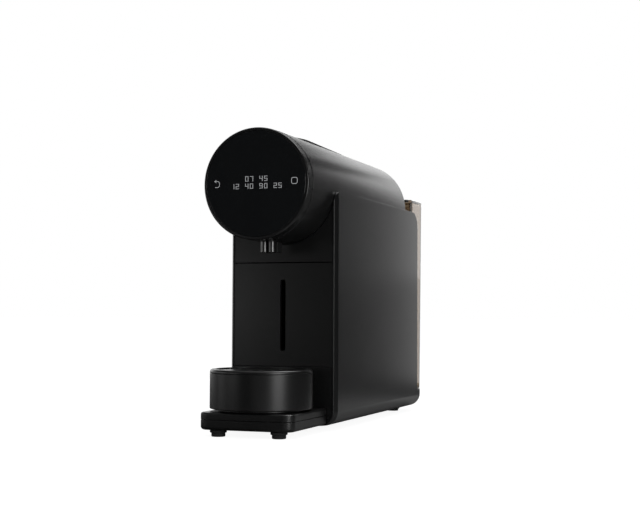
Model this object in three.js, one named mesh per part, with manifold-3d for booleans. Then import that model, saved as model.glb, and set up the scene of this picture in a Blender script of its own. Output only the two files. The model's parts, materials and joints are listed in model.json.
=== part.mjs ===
// Pod coffee machine: a round horizontal head on a slim body, with a capsule bin behind the front,
// a drip cup on a low base and a water tank standing behind. Millimetres, +Z up, the front faces -Y.
import * as THREE from 'three';
import { mergeVertices } from 'three/addons/utils/BufferGeometryUtils.js';
import Module from 'manifold-3d';

const wasm = await Module();
wasm.setup();

// ---- driving dimensions -------------------------------------------------------------------------
const seat = 0.3;                 // gap between pieces that touch or are bolted together
const runGap = 0.4;               // running gap beside pieces that slide

// head: Y counts from the front of the dial
const headAxisZ = 230.8;
const headRadius = 52.3;
const headWall = 2.4;
const headRearGap = 17.9;            // from the head's rear face to the rear panel
const headEdgeRadius = 5;
const dialStep = 0.3;                // the dial is this much smaller than the head in radius
const dialDepth = 11.9;
const dialBevel = 0.8;
const dialFaceWidth = 3.1;           // the metal face of the dial round the glass
const glassThickness = 2.2;
const glassInset = 0.2;
const dialGroove = 0.5;
const displayHalfWidth = 30;
const displayHalfHeight = 12;
const displayGap = 0.5;              // from the glass to the display module
const boardGap = 4.2;                // from the glass to the board behind the module
const boardThickness = 1.6;

// capsule opening in the top of the head
const openingHalfWidth = 19;
const openingFrontY = 45;
const openingRearY = 185;
const railWidth = 1.6;               // a low rail along each side of the opening
const railRise = 1.8;                // its height over the skin at its peak
const railPeakInset = 40;            // from the opening's front end to that peak
const lidThickness = 2;
const lidLength = 76;
const lidOverlap = 2.5;           // how far the lid reaches under the skin at each side
const lidTravel = 68;
const lidGripInset = 20;             // from the lid's rear edge to its first grip rib
const trackWall = 2.5;
const chuteFrontY = 75;
const chuteLength = 37;
const chuteHalfWidth = 18.6;

// outer shell
const shellShoulder = 2.9;           // how far the shell stands out past the head at each side
const shellWall = 2.4;
const shellFrontY = 69.4;
const shellLap = 16.5;               // how far the shell's sides reach past the tank's front
const shellBottomZ = 4.9;
const shellTopDrop = 1;              // the shell ends this much below the head's axis
const shellEdgeRadius = 14;
const shellTopFrontRadius = 11;
const shellTopRearRadius = 18;
const tailTopZ = 24.5;
const tailRadius = 14;
const rimWidth = 4;
const rimDepth = 3;
const ventCount = 7;
const ventPitch = 9;
const ventWidth = 3.2;
const ventLength = 46;

// front panels
const panelRecess = 0.8;
const panelThickness = 2.6;
const binSeamZ = 160.7;
const binFloorSeamZ = 61.2;
const slotWidth = 5.4;
const slotBottomZ = 75.7;
const slotTopZ = 144.7;

// capsule bin
const binWall = 1.8;
const binDepth = 107;
const binTopZ = 150;
const binCornerRadius = 7;
const bayWall = 1.8;
const bayRise = 12;               // bay walls above the bin's rim
const binTravel = 105;

// base
const baseInset = 9.4;               // the base is this much narrower than the shell at each side
const baseFrontY = -24;
const baseCornerRadius = 10;
const baseBottomZ = 6.3;
const baseSeamZ = 15.3;
const plateTopZ = 22.2;
const plateBevel = 1.4;
const baseWall = 3;
const basePlateRearRadius = 3;
const baseRibThickness = 2;
const baseRibCount = 3;
const tongueLength = 46;
const footInset = 16.2;              // from the base's side to a foot's axis
const footFrontY = -13;
const footRearInset = 38;
const footRadius = 6.4;
const footFlangeRadius = 7.7;
const footFlangeHeight = 2.6;

// drip cup
const cupRadius = 47.6;
const cupCentreY = 17;
const cupBottomZ = 24.4;
const cupSeamZ = 57;
const cupTopZ = 60.6;
const cupWall = 2.4;
const cupFootRadius = 40;
const cupLidDish = 42;
const cupLidDishDepth = 1.4;
const drainHoleRadius = 1.9;
const drainHolePitch = 12;
const drainRings = 2;

// spout
const nozzleSpacing = 7.8;
const nozzleY = 31;
const nozzleRadius = 3;
const nozzleBore = 2.1;
const nozzleBottomZ = 169;
const spoutBlockHalfWidth = 8.2;
const spoutBlockRearY = 46;

// brewing unit, on the head's axis
const brewPlateY = 60;
const brewPlateThickness = 13;
const brewTravel = 40;
const chamberRadius = 19.2;
const chamberBore = 16;
const chamberLength = 33;
const chamberFloor = 4;
const needleLength = 6;
const needleCircle = 8;              // the needles stand on a circle of this radius
const tailRadiusOuter = 8;
const screwRadius = 5;
const screwCollarRadius = 8;
const barThickness = 10;             // the piston's crossbar, which slides on the guide rods
const rodSocketDepth = 8;
const guideRodX = 30;
const guideRodRadius = 4;
const pistonTailLength = 60;
const bulkheadGap = 5;               // between the piston's tail and the drive bulkhead
const bulkheadThickness = 8;
const gearModule = 1;
const gearTeeth = 40;
const pinionTeeth = 12;
const gearWidth = 7;
const gearHubRadius = 9;
const gearWebInset = 2.2;
const gearGap = 3;                   // beside the gear, to the bulkhead and to the motor's bracket
const bracketThickness = 3;
const motorRadius = 14;
const motorLength = 46;
const motorShaftRadius = 2.2;
const wireWayInset = 4;              // from the bracket to the opening for wires in the head's underside
const wireWayLength = 45;
const wireWayHalfWidth = 12;

// water tank
const tankInset = 3.2;               // the tank is this much narrower than the shell at each side
const tankFrontGap = 1.8;
const tankDepth = 46;
const tankTaper = 7;                 // the rear wall leans in by this towards the bottom
const tankTopZ = 244.7;
const tankWall = 2.2;
const tankCornerRadius = 1.6;
const gripInset = 3;                 // from the tank's side to the end of its grip
const gripDepth = 4;
const tankLidThickness = 3;
const valveInset = 18.5;             // from the tank's front to the valve's axis
const valveRadius = 8;
const valveHeight = 9;
const wellRadius = 12.5;             // the dock's well round the valve
const tailLip = 0.5;                 // the tail reaches this far past the tank's foot
const glandInset = 21.2;             // from the shell's side to the cord gland's axis
const glandZ = 17;
const glandRadius = 6;
const glandBore = 3.4;
const glandLength = 21.5;
const glandStandOut = 1.5;

// body interior
const frameWall = 2.5;
const binRearGap = 8;                // behind the bin, inside its bay
const techBayLength = 149.7;         // from the front bulkhead to the rear panel
const rearBayLength = 40.2;          // from the rear bulkhead to the rear panel
const pumpX = 18;
const pumpZ = 42;
const pumpRadius = 17;
const pumpInset = 23.5;              // from the front bulkhead to the pump's body
const pumpLength = 66;
const pumpNippleLength = 12;
const pumpTailLength = 8;
const pumpMountInsets = [20, 48];    // from the pump's front end to each of its mounts
const pumpMountThickness = 8;
const heaterLength = 80;
const heaterHalfWidth = 30;
const heaterHeight = 30;
const heaterBottomZ = 128;
const finCount = 6;
const finHeight = 4;
const boardInset = 9.2;              // from the shell's side to the circuit board
const boardBottomZ = 40;
const boardTopZ = 118;
const meterRadius = 11;
const meterInset = 16.2;             // from the rear panel to the flow meter's axis
const meterZ = 24;
const meterNippleLength = 6;

// ---- derived places -----------------------------------------------------------------------------
const dialRadius = headRadius - dialStep;
const glassRadius = dialRadius - dialFaceWidth;
const shellTopZ = headAxisZ - shellTopDrop;
const shellHalfWidth = headRadius + shellShoulder;
const baseHalfWidth = shellHalfWidth - baseInset;
const tankHalfWidth = shellHalfWidth - tankInset;
const footX = baseHalfWidth - footInset;
const tubeFrontY = dialDepth + dialGroove;
const tubeBore = headRadius - headWall;
const panelFrontY = shellFrontY + panelRecess;
const panelRearY = panelFrontY + panelThickness;
const panelHalfWidth = shellHalfWidth - rimWidth - seat;
const portalY = panelRearY + seat;
const binFrontY = panelRearY + 2 * seat;
const bayFloorZ = binFloorSeamZ + bayWall;
const binBottomZ = bayFloorZ + seat;
const bayTopZ = binTopZ + bayRise;
const portalHalfWidth = shellHalfWidth - shellWall - seat;
const bayHalfWidth = portalHalfWidth - 3.5;
const binHalfWidth = bayHalfWidth - bayWall - runGap;
const binRearY = binFrontY + binDepth;
const bulkheadFrontY = binRearY + binRearGap + bayWall + seat;
const rearPanelY = bulkheadFrontY + techBayLength;
const bulkheadRearY = rearPanelY - rearBayLength;
const tankFrontY = rearPanelY + frameWall + tankFrontGap;
const tankRearTopY = tankFrontY + tankDepth;
const tankRearBottomY = tankRearTopY - tankTaper;
const valveY = tankFrontY + valveInset;
const shellRearY = tankFrontY + shellLap;
const tailRearY = tankRearBottomY + tailLip;
const headRearY = rearPanelY - headRearGap;
const footRearY = tailRearY - footRearInset;
const pumpFrontY = bulkheadFrontY + pumpInset;
const pistonRestY = chuteFrontY + chuteLength + 2;
const chuteRearY = chuteFrontY + chuteLength;
const brewPlateRearY = brewPlateY + brewPlateThickness;
const pistonTailY = pistonRestY + chamberLength + pistonTailLength;
const bulkheadY = pistonTailY + bulkheadGap;
const gearY = bulkheadY + bulkheadThickness + gearGap;
const bracketY = gearY + gearWidth + gearGap;
const pinionRise = gearModule * (gearTeeth + pinionTeeth) / 2;
const tankBottomZ = tailTopZ + seat;
const floorTopZ = shellBottomZ + shellWall + seat + 3;
const wide = 2 * shellHalfWidth;        // past both sides of the machine
const overallFrontY = cupCentreY - cupRadius;
const overallRearY = tankRearTopY;

// ---- materials ----------------------------------------------------------------------------------
const finish = (color, roughness, metalness = 0, extra = {}) =>
  new THREE.MeshStandardMaterial({ color, roughness, metalness, ...extra });
const satinBlack = finish(0x17181a, 0.45);
const shellBlack = finish(0x1c1d1f, 0.4);
const glossBlack = finish(0x050506, 0.06);
const rubberBlack = finish(0x101010, 0.9);
const innerBlack = finish(0x0e0e0f, 0.7);
const chrome = finish(0xd8dadc, 0.12, 1);
const steel = finish(0x9a9c9f, 0.35, 1);
const amber = finish(0xb4a48c, 0.08, 0, { transparent: true, opacity: 0.45 });
const boardGreen = finish(0x12402c, 0.5);
const castAluminium = finish(0xa8aaad, 0.5, 1);
const whitePlastic = finish(0xd9d6cc, 0.5);
const siliconeGrey = finish(0xc9c9c4, 0.6);

// ---- solids -------------------------------------------------------------------------------------
function toSolid(geometry) {
  const bare = geometry.clone();
  bare.deleteAttribute('normal');
  bare.deleteAttribute('uv');
  const merged = mergeVertices(bare, 1e-4);
  const position = merged.attributes.position.array;
  const index = merged.index.array;
  const corner = (i) => new THREE.Vector3().fromArray(position, 3 * i);
  const triangles = [];
  let volume = 0;
  for (let i = 0; i < index.length; i += 3) {
    const [a, b, c] = [index[i], index[i + 1], index[i + 2]];
    if (a === b || b === c || c === a) continue;
    triangles.push([a, b, c]);
    volume += corner(a).dot(corner(b).cross(corner(c)));
  }
  if (volume < 0) triangles.forEach((triangle) => triangle.reverse());
  return new wasm.Manifold(new wasm.Mesh({
    numProp: 3,
    vertProperties: new Float32Array(position),
    triVerts: new Uint32Array(triangles.flat()),
  }));
}

function toGeometry(solid) {
  const mesh = solid.getMesh();
  const geometry = new THREE.BufferGeometry();
  geometry.setAttribute('position', new THREE.BufferAttribute(new Float32Array(mesh.vertProperties), 3));
  geometry.setIndex(new THREE.BufferAttribute(new Uint32Array(mesh.triVerts), 1));
  geometry.computeVertexNormals();
  return geometry;
}

const union = (first, ...others) => others.reduce((solid, next) => solid.add(next), first);
const cut = (first, ...others) => others.reduce((solid, next) => solid.subtract(next), first);
const common = (first, ...others) => others.reduce((solid, next) => solid.intersect(next), first);

// a box between two corners
function box([x0, x1], [y0, y1], [z0, z1]) {
  const geometry = new THREE.BoxGeometry(x1 - x0, y1 - y0, z1 - z0);
  geometry.translate((x0 + x1) / 2, (y0 + y1) / 2, (z0 + z1) / 2);
  return toSolid(geometry);
}

// a closed outline through corners [u, v, radius], each rounded by its radius
function rounded(corners, stepDegrees = 18) {
  const points = [];
  corners.forEach(([u, v, radius = 0], i) => {
    const here = new THREE.Vector2(u, v);
    if (!radius) {
      points.push(here);
      return;
    }
    const towards = ([x, y]) => new THREE.Vector2(x, y).sub(here).normalize();
    const before = towards(corners[(i + corners.length - 1) % corners.length]);
    const after = towards(corners[(i + 1) % corners.length]);
    const half = Math.acos(THREE.MathUtils.clamp(before.dot(after), -1, 1)) / 2;
    const centre = before.clone().add(after).normalize().multiplyScalar(radius / Math.sin(half)).add(here);
    const start = before.multiplyScalar(radius / Math.tan(half)).add(here).sub(centre).angle();
    const end = after.multiplyScalar(radius / Math.tan(half)).add(here).sub(centre).angle();
    let sweep = end - start;
    if (sweep > Math.PI) sweep -= 2 * Math.PI;
    if (sweep < -Math.PI) sweep += 2 * Math.PI;
    const steps = Math.max(2, Math.ceil(Math.abs(sweep) / THREE.MathUtils.degToRad(stepDegrees)));
    for (let k = 0; k <= steps; k += 1) {
      const angle = start + sweep * k / steps;
      points.push(new THREE.Vector2(Math.cos(angle), Math.sin(angle)).multiplyScalar(radius).add(centre));
    }
  });
  return points;
}

const rectangle = ([u0, u1], [v0, v1], radii = [0, 0, 0, 0]) =>
  [[u0, v0, radii[0]], [u1, v0, radii[1]], [u1, v1, radii[2]], [u0, v1, radii[3]]];

// prisms: an outline in XZ run along Y, in YZ run along X, or in XY run along Z
function prism(points, from, to, basis) {
  const shape = new THREE.Shape(points);
  const geometry = new THREE.ExtrudeGeometry(shape, { depth: to - from, bevelEnabled: false });
  geometry.translate(0, 0, from);
  geometry.applyMatrix4(basis);
  return toSolid(geometry);
}
const axisX = new THREE.Vector3(1, 0, 0);
const axisY = new THREE.Vector3(0, 1, 0);
const axisZ = new THREE.Vector3(0, 0, 1);
const alongYBasis = new THREE.Matrix4().makeBasis(axisX, axisZ, axisY.clone().negate());
const alongXBasis = new THREE.Matrix4().makeBasis(axisY, axisZ, axisX);
const alongY = (points, y0, y1) => prism(points, -y1, -y0, alongYBasis);
const alongX = (points, x0, x1) => prism(points, x0, x1, alongXBasis);
const alongZ = (points, z0, z1) => prism(points, z0, z1, new THREE.Matrix4());

// a profile of [radius, height] turned about the Y axis, or stood up about the Z axis
const points2 = (list) => list.map(([u, v]) => new THREE.Vector2(u, v));
function turnedY(profile, segments = 40) {
  return toSolid(new THREE.LatheGeometry(points2(profile), segments));
}
function turnedZ(profile, segments = 32) {
  const geometry = new THREE.LatheGeometry(points2(profile), segments);
  geometry.rotateX(Math.PI / 2);
  return toSolid(geometry);
}
const closedRing = (profile) => [...profile, profile[0]];

function rodY(radius, y0, y1, x = 0, z = 0, segments = 20, frontRadius = radius) {
  const geometry = new THREE.CylinderGeometry(radius, frontRadius, y1 - y0, segments);
  geometry.translate(x, (y0 + y1) / 2, z);
  return toSolid(geometry);
}
function rodZ(radius, z0, z1, x = 0, y = 0, segments = 20) {
  const geometry = new THREE.CylinderGeometry(radius, radius, z1 - z0, segments);
  geometry.rotateX(Math.PI / 2);
  geometry.translate(x, y, (z0 + z1) / 2);
  return toSolid(geometry);
}

// a quarter round between two points of a turned profile
function quarter(centreU, centreV, radius, fromDegrees, toDegrees, steps = 4) {
  return Array.from({ length: steps + 1 }, (_, k) => {
    const angle = THREE.MathUtils.degToRad(fromDegrees + (toDegrees - fromDegrees) * k / steps);
    return [centreU + radius * Math.cos(angle), centreV + radius * Math.sin(angle)];
  });
}

// a stack of outlines at rising heights, skinned into one solid
function loft(sections) {
  const count = sections[0].points.length;
  const vertices = sections.flatMap(({ points, z }) => points.flatMap((p) => [p.x, p.y, z]));
  const indices = [];
  for (let s = 0; s + 1 < sections.length; s += 1) {
    for (let i = 0; i < count; i += 1) {
      const [a, b] = [s * count + i, s * count + (i + 1) % count];
      indices.push(a, b, b + count, a, b + count, a + count);
    }
  }
  const cap = THREE.ShapeUtils.triangulateShape(sections[0].points, []);
  const top = (sections.length - 1) * count;
  cap.forEach(([a, b, c]) => indices.push(c, b, a, top + a, top + b, top + c));
  const geometry = new THREE.BufferGeometry();
  geometry.setAttribute('position', new THREE.Float32BufferAttribute(vertices, 3));
  geometry.setIndex(indices);
  return toSolid(geometry);
}

// a round bar bent along a curve
function bentRod(points, radius, steps, sides = 8) {
  const circle = new THREE.Shape().absarc(0, 0, radius, 0, 2 * Math.PI);
  const curve = new THREE.CatmullRomCurve3(points.map((p) => new THREE.Vector3(...p)));
  const outline = new THREE.Shape(circle.getPoints(sides / 2).slice(0, sides));
  return toSolid(new THREE.ExtrudeGeometry(outline, { steps, extrudePath: curve, bevelEnabled: false }));
}

// the outline of a spur gear, teeth with straight flanks between root and tip circles
function gearOutline(teeth, module, turn = 0) {
  const [root, tip] = [module * (teeth / 2 - 1.2), module * (teeth / 2 + 0.9)];
  const flank = [[-0.3, root], [-0.13, tip], [0.13, tip], [0.3, root]];
  const points = [];
  for (let i = 0; i < teeth; i += 1) {
    for (const [share, radius] of flank) {
      const angle = 2 * Math.PI * (i + share + turn) / teeth;
      points.push(new THREE.Vector2(radius * Math.sin(angle), radius * Math.cos(angle)));
    }
  }
  return points.reverse();
}

// ---- the scene graph ----------------------------------------------------------------------------
const machine = new THREE.Group();
const placed = new THREE.Group();
placed.position.y = -(overallFrontY + overallRearY) / 2;
machine.add(placed);

function addGroup(parent, x = 0, y = 0, z = 0) {
  const group = new THREE.Group();
  group.position.set(x, y, z);
  parent.add(group);
  return group;
}

function addPiece(group, name, solid, material) {
  const mesh = new THREE.Mesh(toGeometry(solid), material);
  mesh.name = name;
  group.add(mesh);
}

// ---- outer shell --------------------------------------------------------------------------------
// the space inside the shell, drawn in by a gap: walls, floor and the round of the tail
function shellSpace(inset, frontY, topZ = shellTopZ + headRadius) {
  const halfWidth = shellHalfWidth - inset;
  const bottomZ = shellBottomZ + inset;
  const rearY = tailRearY - inset;
  const radius = shellEdgeRadius - inset;
  const across = rectangle([-halfWidth, halfWidth], [bottomZ, topZ], [radius, radius, 0, 0]);
  const along = rectangle([frontY, rearY], [bottomZ, topZ], [0, tailRadius - inset, 0, 0]);
  const plan = rectangle([-halfWidth, halfWidth], [frontY, rearY], [0, 0, radius, radius]);
  return common(
    alongY(rounded(across), frontY, rearY),
    alongX(rounded(along), -halfWidth, halfWidth),
    alongZ(rounded(plan), bottomZ, topZ));
}

const headClearance = (gap, y0 = tubeFrontY - dialDepth, y1 = headRearY + gap) =>
  rodY(headRadius + gap, y0, y1, 0, headAxisZ, 64);

// air slots through the floor, under the pump
function vents() {
  const rowX = (ventCount - 1) * ventPitch / 2;
  return Array.from({ length: ventCount }, (_, i) => box(
    [i * ventPitch - rowX - ventWidth / 2, i * ventPitch - rowX + ventWidth / 2],
    [pumpFrontY, pumpFrontY + ventLength], [shellBottomZ - 1, floorTopZ + 1]));
}

function outerShell() {
  const outline = rounded([
    [shellFrontY, shellBottomZ, 0], [tailRearY, shellBottomZ, tailRadius], [tailRearY, tailTopZ, 0],
    [shellRearY, tailTopZ, 0], [shellRearY, shellTopZ, shellTopRearRadius],
    [shellFrontY, shellTopZ, shellTopFrontRadius]], 11);
  const block = common(shellSpace(0, shellFrontY), alongX(outline, -shellHalfWidth, shellHalfWidth));
  const rimBack = shellFrontY + rimDepth;
  return cut(block,
    shellSpace(shellWall, rimBack),
    common(shellSpace(rimWidth, shellFrontY - 1),
      box([-wide, wide], [shellFrontY - 1, rimBack + 1], [0, shellTopZ + headRadius])),
    headClearance(runGap),
    ...vents(),
    ...glandHole());
}

// ---- base with its two halves and feet ------------------------------------------------------------
const baseRearY = shellFrontY - seat;
const tongueHalfWidth = baseHalfWidth - 2 * baseWall;
const baseOutline = (inset, rearRadius = 0) => rounded([
  [-baseHalfWidth + inset, baseFrontY + inset, baseCornerRadius - inset],
  [baseHalfWidth - inset, baseFrontY + inset, baseCornerRadius - inset],
  [baseHalfWidth - inset, baseRearY - inset, rearRadius],
  [-baseHalfWidth + inset, baseRearY - inset, rearRadius]]);

// ribs stand on the tray's floor, one pair in line with the feet and the others across it
function baseRibs() {
  const [floorZ, topZ] = [baseBottomZ + baseWall - 1, baseSeamZ - seat];
  const innerX = baseHalfWidth - baseWall + 1;
  const [frontY, rearY] = [baseFrontY + baseWall - 1, baseRearY - baseWall + 1];
  const around = (centre) => [centre - baseRibThickness / 2, centre + baseRibThickness / 2];
  const ribPitch = (rearY - footFrontY) / baseRibCount;
  return [
    ...[-footX, footX].map((x) => box(around(x), [frontY, rearY], [floorZ, topZ])),
    ...Array.from({ length: baseRibCount }, (_, i) => box(
      [-innerX, innerX], around(footFrontY + i * ribPitch), [floorZ, topZ]))];
}

function baseTray() {
  const tongueZ = shellBottomZ + rimWidth + seat;
  const shell = loft([
    { points: baseOutline(plateBevel), z: baseBottomZ },
    { points: baseOutline(0), z: baseBottomZ + plateBevel },
    { points: baseOutline(0), z: baseSeamZ }]);
  const tongue = box([-tongueHalfWidth, tongueHalfWidth],
    [baseRearY - baseWall - 1, shellFrontY + tongueLength], [tongueZ, baseSeamZ - seat]);
  return union(cut(shell, alongZ(baseOutline(baseWall), baseBottomZ + baseWall, baseSeamZ + 1)),
    ...baseRibs(), tongue);
}

function basePlate() {
  const rearRadius = basePlateRearRadius;
  const plate = loft([
    { points: baseOutline(0, rearRadius), z: baseSeamZ + seat },
    { points: baseOutline(0, rearRadius), z: plateTopZ - plateBevel },
    { points: baseOutline(plateBevel, rearRadius - plateBevel), z: plateTopZ }]);
  return cut(plate, alongZ(baseOutline(baseWall), baseSeamZ, plateTopZ - baseWall));
}

function foot(topZ) {
  const flangeZ = topZ - seat - footFlangeHeight;
  return turnedZ([[0, 0], [footRadius - 0.8, 0], [footRadius, 0.8], [footRadius, flangeZ],
    [footFlangeRadius, flangeZ + 0.6], [footFlangeRadius, topZ - seat], [0, topZ - seat]], 16);
}

// ---- drip cup -----------------------------------------------------------------------------------
function dripCup() {
  const floorZ = cupBottomZ + cupWall;
  return turnedZ([[0, plateTopZ + seat], [cupFootRadius, plateTopZ + seat], [cupFootRadius, cupBottomZ],
    [cupRadius - 1, cupBottomZ], [cupRadius, cupBottomZ + 1], [cupRadius, cupSeamZ],
    [cupRadius - cupWall, cupSeamZ], [cupRadius - cupWall, floorZ], [0, floorZ]]);
}

function dripLid() {
  const shoulder = 2.4;
  const skirt = cupRadius - cupWall - seat;
  const skirtInner = skirt - 1.6;
  const underZ = cupSeamZ + seat;
  const skirtZ = underZ - 3;
  const lid = turnedZ([[0, underZ], [skirtInner, underZ], [skirtInner, skirtZ], [skirt, skirtZ],
    [skirt, underZ], [cupRadius, underZ],
    ...quarter(cupRadius - shoulder, cupTopZ - shoulder, shoulder, 0, 90, 3),
    [cupLidDish, cupTopZ], [cupLidDish - 1, cupTopZ - cupLidDishDepth], [0, cupTopZ - cupLidDishDepth]]);
  const holes = [];
  for (let ring = 0; ring <= drainRings; ring += 1) {
    const count = ring ? 6 * ring : 1;
    const reach = ring * drainHolePitch;
    for (let i = 0; i < count; i += 1) {
      const angle = 2 * Math.PI * i / count;
      const [x, y] = [reach * Math.cos(angle), reach * Math.sin(angle)];
      holes.push(rodZ(drainHoleRadius, underZ - 1, cupTopZ, x, y, 6));
    }
  }
  return cut(lid, ...holes);
}

// ---- front panels, bin and its bay ----------------------------------------------------------------
const tongueNotch = () => box([-tongueHalfWidth - seat, tongueHalfWidth + seat],
  [0, shellFrontY + tongueLength + seat], [0, baseSeamZ]);

function upperFrontPanel() {
  return cut(
    box([-panelHalfWidth, panelHalfWidth], [panelFrontY, panelRearY], [binSeamZ + seat, headAxisZ]),
    headClearance(seat));
}

function lowerFrontPanel() {
  return cut(
    common(shellSpace(rimWidth + seat, panelFrontY),
      box([-panelHalfWidth, panelHalfWidth], [panelFrontY, panelRearY], [0, binFloorSeamZ - seat])),
    tongueNotch());
}

function binFront() {
  const slotHalf = slotWidth / 2;
  const slot = rounded([[-slotHalf, slotBottomZ, slotHalf - 0.01], [slotHalf, slotBottomZ, slotHalf - 0.01],
    [slotHalf, slotTopZ, slotHalf - 0.01], [-slotHalf, slotTopZ, slotHalf - 0.01]]);
  return cut(
    box([-panelHalfWidth, panelHalfWidth], [panelFrontY, binFrontY - seat], [binFloorSeamZ, binSeamZ]),
    alongY(slot, panelFrontY - 1, binFrontY + 1));
}

const binPlan = (inset) => rounded(rectangle([-binHalfWidth + inset, binHalfWidth - inset],
  [binFrontY + inset, binRearY - inset], Array(4).fill(binCornerRadius - inset)), 22.5);

function capsuleBin() {
  return cut(
    alongZ(binPlan(0), binBottomZ, binTopZ),
    alongZ(binPlan(binWall), binBottomZ + binWall, binTopZ + 1));
}

function binBay() {
  const rearY = bulkheadFrontY - seat;
  const innerHalfWidth = bayHalfWidth - bayWall;
  return cut(
    box([-bayHalfWidth, bayHalfWidth], [portalY, rearY], [binFloorSeamZ, bayTopZ]),
    box([-innerHalfWidth, innerHalfWidth], [portalY - 1, rearY - bayWall], [bayFloorZ, bayTopZ + 1]));
}

// ---- inner frame, rear panel and tank dock ---------------------------------------------------------
function chassis() {
  const inset = shellWall + seat;
  const space = shellSpace(inset, portalY);
  const wallAt = (y) => box([-wide, wide], [y, y + frameWall], [0, shellTopZ - 1]);
  const frame = union(
    box([-wide, wide], [portalY, rearPanelY - seat], [0, floorTopZ]),
    wallAt(portalY), wallAt(bulkheadFrontY), wallAt(bulkheadRearY));
  const windowHalf = portalHalfWidth - 12;
  const doorway = box([-bayHalfWidth - seat, bayHalfWidth + seat], [portalY - 1, portalY + frameWall + 1],
    [binFloorSeamZ - seat, bayTopZ + seat]);
  const chute = box([-chuteHalfWidth, chuteHalfWidth], [portalY - 1, portalY + frameWall + 1],
    [bayTopZ - 1, headAxisZ]);
  const hatch = (y, z0, z1) => alongY(rounded(rectangle([-windowHalf, windowHalf], [z0, z1], [8, 8, 8, 8])),
    y - 1, y + frameWall + 1);
  return cut(common(frame, space), doorway, chute, headClearance(seat), tongueNotch(),
    hatch(bulkheadFrontY, 24, 110), hatch(bulkheadRearY, 20, 150), ...vents());
}

function rearPanel() {
  const inset = shellWall + seat;
  const deckZ = shellTopZ - 3;
  const wall = common(shellSpace(inset, rearPanelY),
    box([-wide, wide], [rearPanelY, rearPanelY + frameWall], [0, deckZ]));
  const deck = box([-portalHalfWidth, portalHalfWidth], [headRearY + 2 * seat, rearPanelY + frameWall],
    [deckZ - frameWall, deckZ]);
  return cut(union(wall, deck), rodY(6, rearPanelY - 1, rearPanelY + frameWall + 1, 0, 17, 16));
}

function tankDock() {
  const inset = shellWall + seat;
  const frontY = rearPanelY + frameWall + seat;
  const block = common(shellSpace(inset, frontY, tailTopZ),
    box([-wide, wide], [frontY, tailRearY], [0, tailTopZ]));
  const pocketZ = tankBottomZ - valveHeight - 1.5;
  return union(
    cut(block, rodZ(wellRadius, pocketZ, tailTopZ + 1, 0, valveY, 24), ...glandHole()),
    rodZ(1.2, pocketZ - 1, pocketZ + 1, 0, valveY, 12));
}

// ---- cord gland in the round of the tail -----------------------------------------------------------
const glandX = glandInset - shellHalfWidth;
const glandRod = (radius, frontY, rearY, segments) => rodY(radius, frontY, rearY, glandX, glandZ, segments);
const glandHole = () => [glandRod(glandRadius + seat, tailRearY - glandLength - 0.5, tailRearY + 10, 24)];

function cordGland() {
  const rearY = tailRearY + glandStandOut;
  const frontY = rearY - glandLength;
  return cut(glandRod(glandRadius, frontY, rearY, 24), glandRod(glandBore, frontY + 6, rearY + 1, 16));
}

// ---- water tank -----------------------------------------------------------------------------------
const tankPlan = (inset, rearY) => rounded(rectangle([-tankHalfWidth + inset, tankHalfWidth - inset],
  [tankFrontY + inset, rearY - inset], Array(4).fill(tankCornerRadius - inset)), 18);

function tankBody() {
  const rimZ = tankTopZ - tankLidThickness - seat;
  const outer = loft([{ points: tankPlan(0, tankRearBottomY), z: tankBottomZ },
    { points: tankPlan(0, tankRearTopY), z: rimZ }]);
  const inner = loft([{ points: tankPlan(tankWall, tankRearBottomY), z: tankBottomZ + tankWall },
    { points: tankPlan(tankWall, tankRearTopY), z: rimZ + 1 }]);
  return cut(outer, inner, rodZ(4, tankBottomZ - 1, tankBottomZ + tankWall + 1, 0, valveY));
}

function tankLid() {
  const lidZ = tankTopZ - tankLidThickness;
  const plug = tankWall + seat + 0.2;
  return union(
    alongZ(tankPlan(0, tankRearTopY), lidZ, tankTopZ),
    cut(alongZ(tankPlan(plug, tankRearTopY), lidZ - 4, lidZ + 0.5),
      alongZ(tankPlan(plug + 1.6, tankRearTopY), lidZ - 5, lidZ)));
}

function tankGrip() {
  const halfWidth = tankHalfWidth - gripInset;
  const frontY = tankFrontY - gripDepth;
  const lidZ = tankTopZ - tankLidThickness;
  return box([-halfWidth, halfWidth], [frontY, tankFrontY - seat], [lidZ, tankTopZ]);
}

function tankValve() {
  const topZ = tankBottomZ - seat;
  return cut(
    rodZ(valveRadius, topZ - valveHeight + 1, topZ, 0, valveY, 32),
    rodZ(3.4, topZ - valveHeight, topZ + 1, 0, valveY, 16));
}

function valvePlunger() {
  const bottomZ = tankBottomZ - valveHeight + 0.8;
  return turnedZ([[0, bottomZ], [3, bottomZ], [3, tankBottomZ + 0.5], [0, tankBottomZ + 0.5]], 16);
}

// ---- head: tube, dial and display -------------------------------------------------------------------
function obround(halfWidth, frontY, rearY) {
  const corner = halfWidth - 0.01;
  return rounded(rectangle([-halfWidth, halfWidth], [frontY, rearY], Array(4).fill(corner)), 12);
}

// two low rails beside the opening, highest near its front
function openingRails() {
  const outerX = openingHalfWidth + railWidth;
  const peakY = openingFrontY + railPeakInset;
  const skinZ = Math.sqrt(headRadius ** 2 - outerX ** 2);
  const wedge = alongX(points2([[openingFrontY, skinZ - 1], [openingRearY, skinZ - 1],
    [openingRearY, skinZ + 0.3], [peakY, skinZ + railRise], [openingFrontY, skinZ]]), -wide, wide);
  const strips = [[-outerX, -openingHalfWidth], [openingHalfWidth, outerX]];
  return strips.map((strip) => common(wedge, box(strip, [openingFrontY, openingRearY], [0, headRadius])));
}

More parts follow.
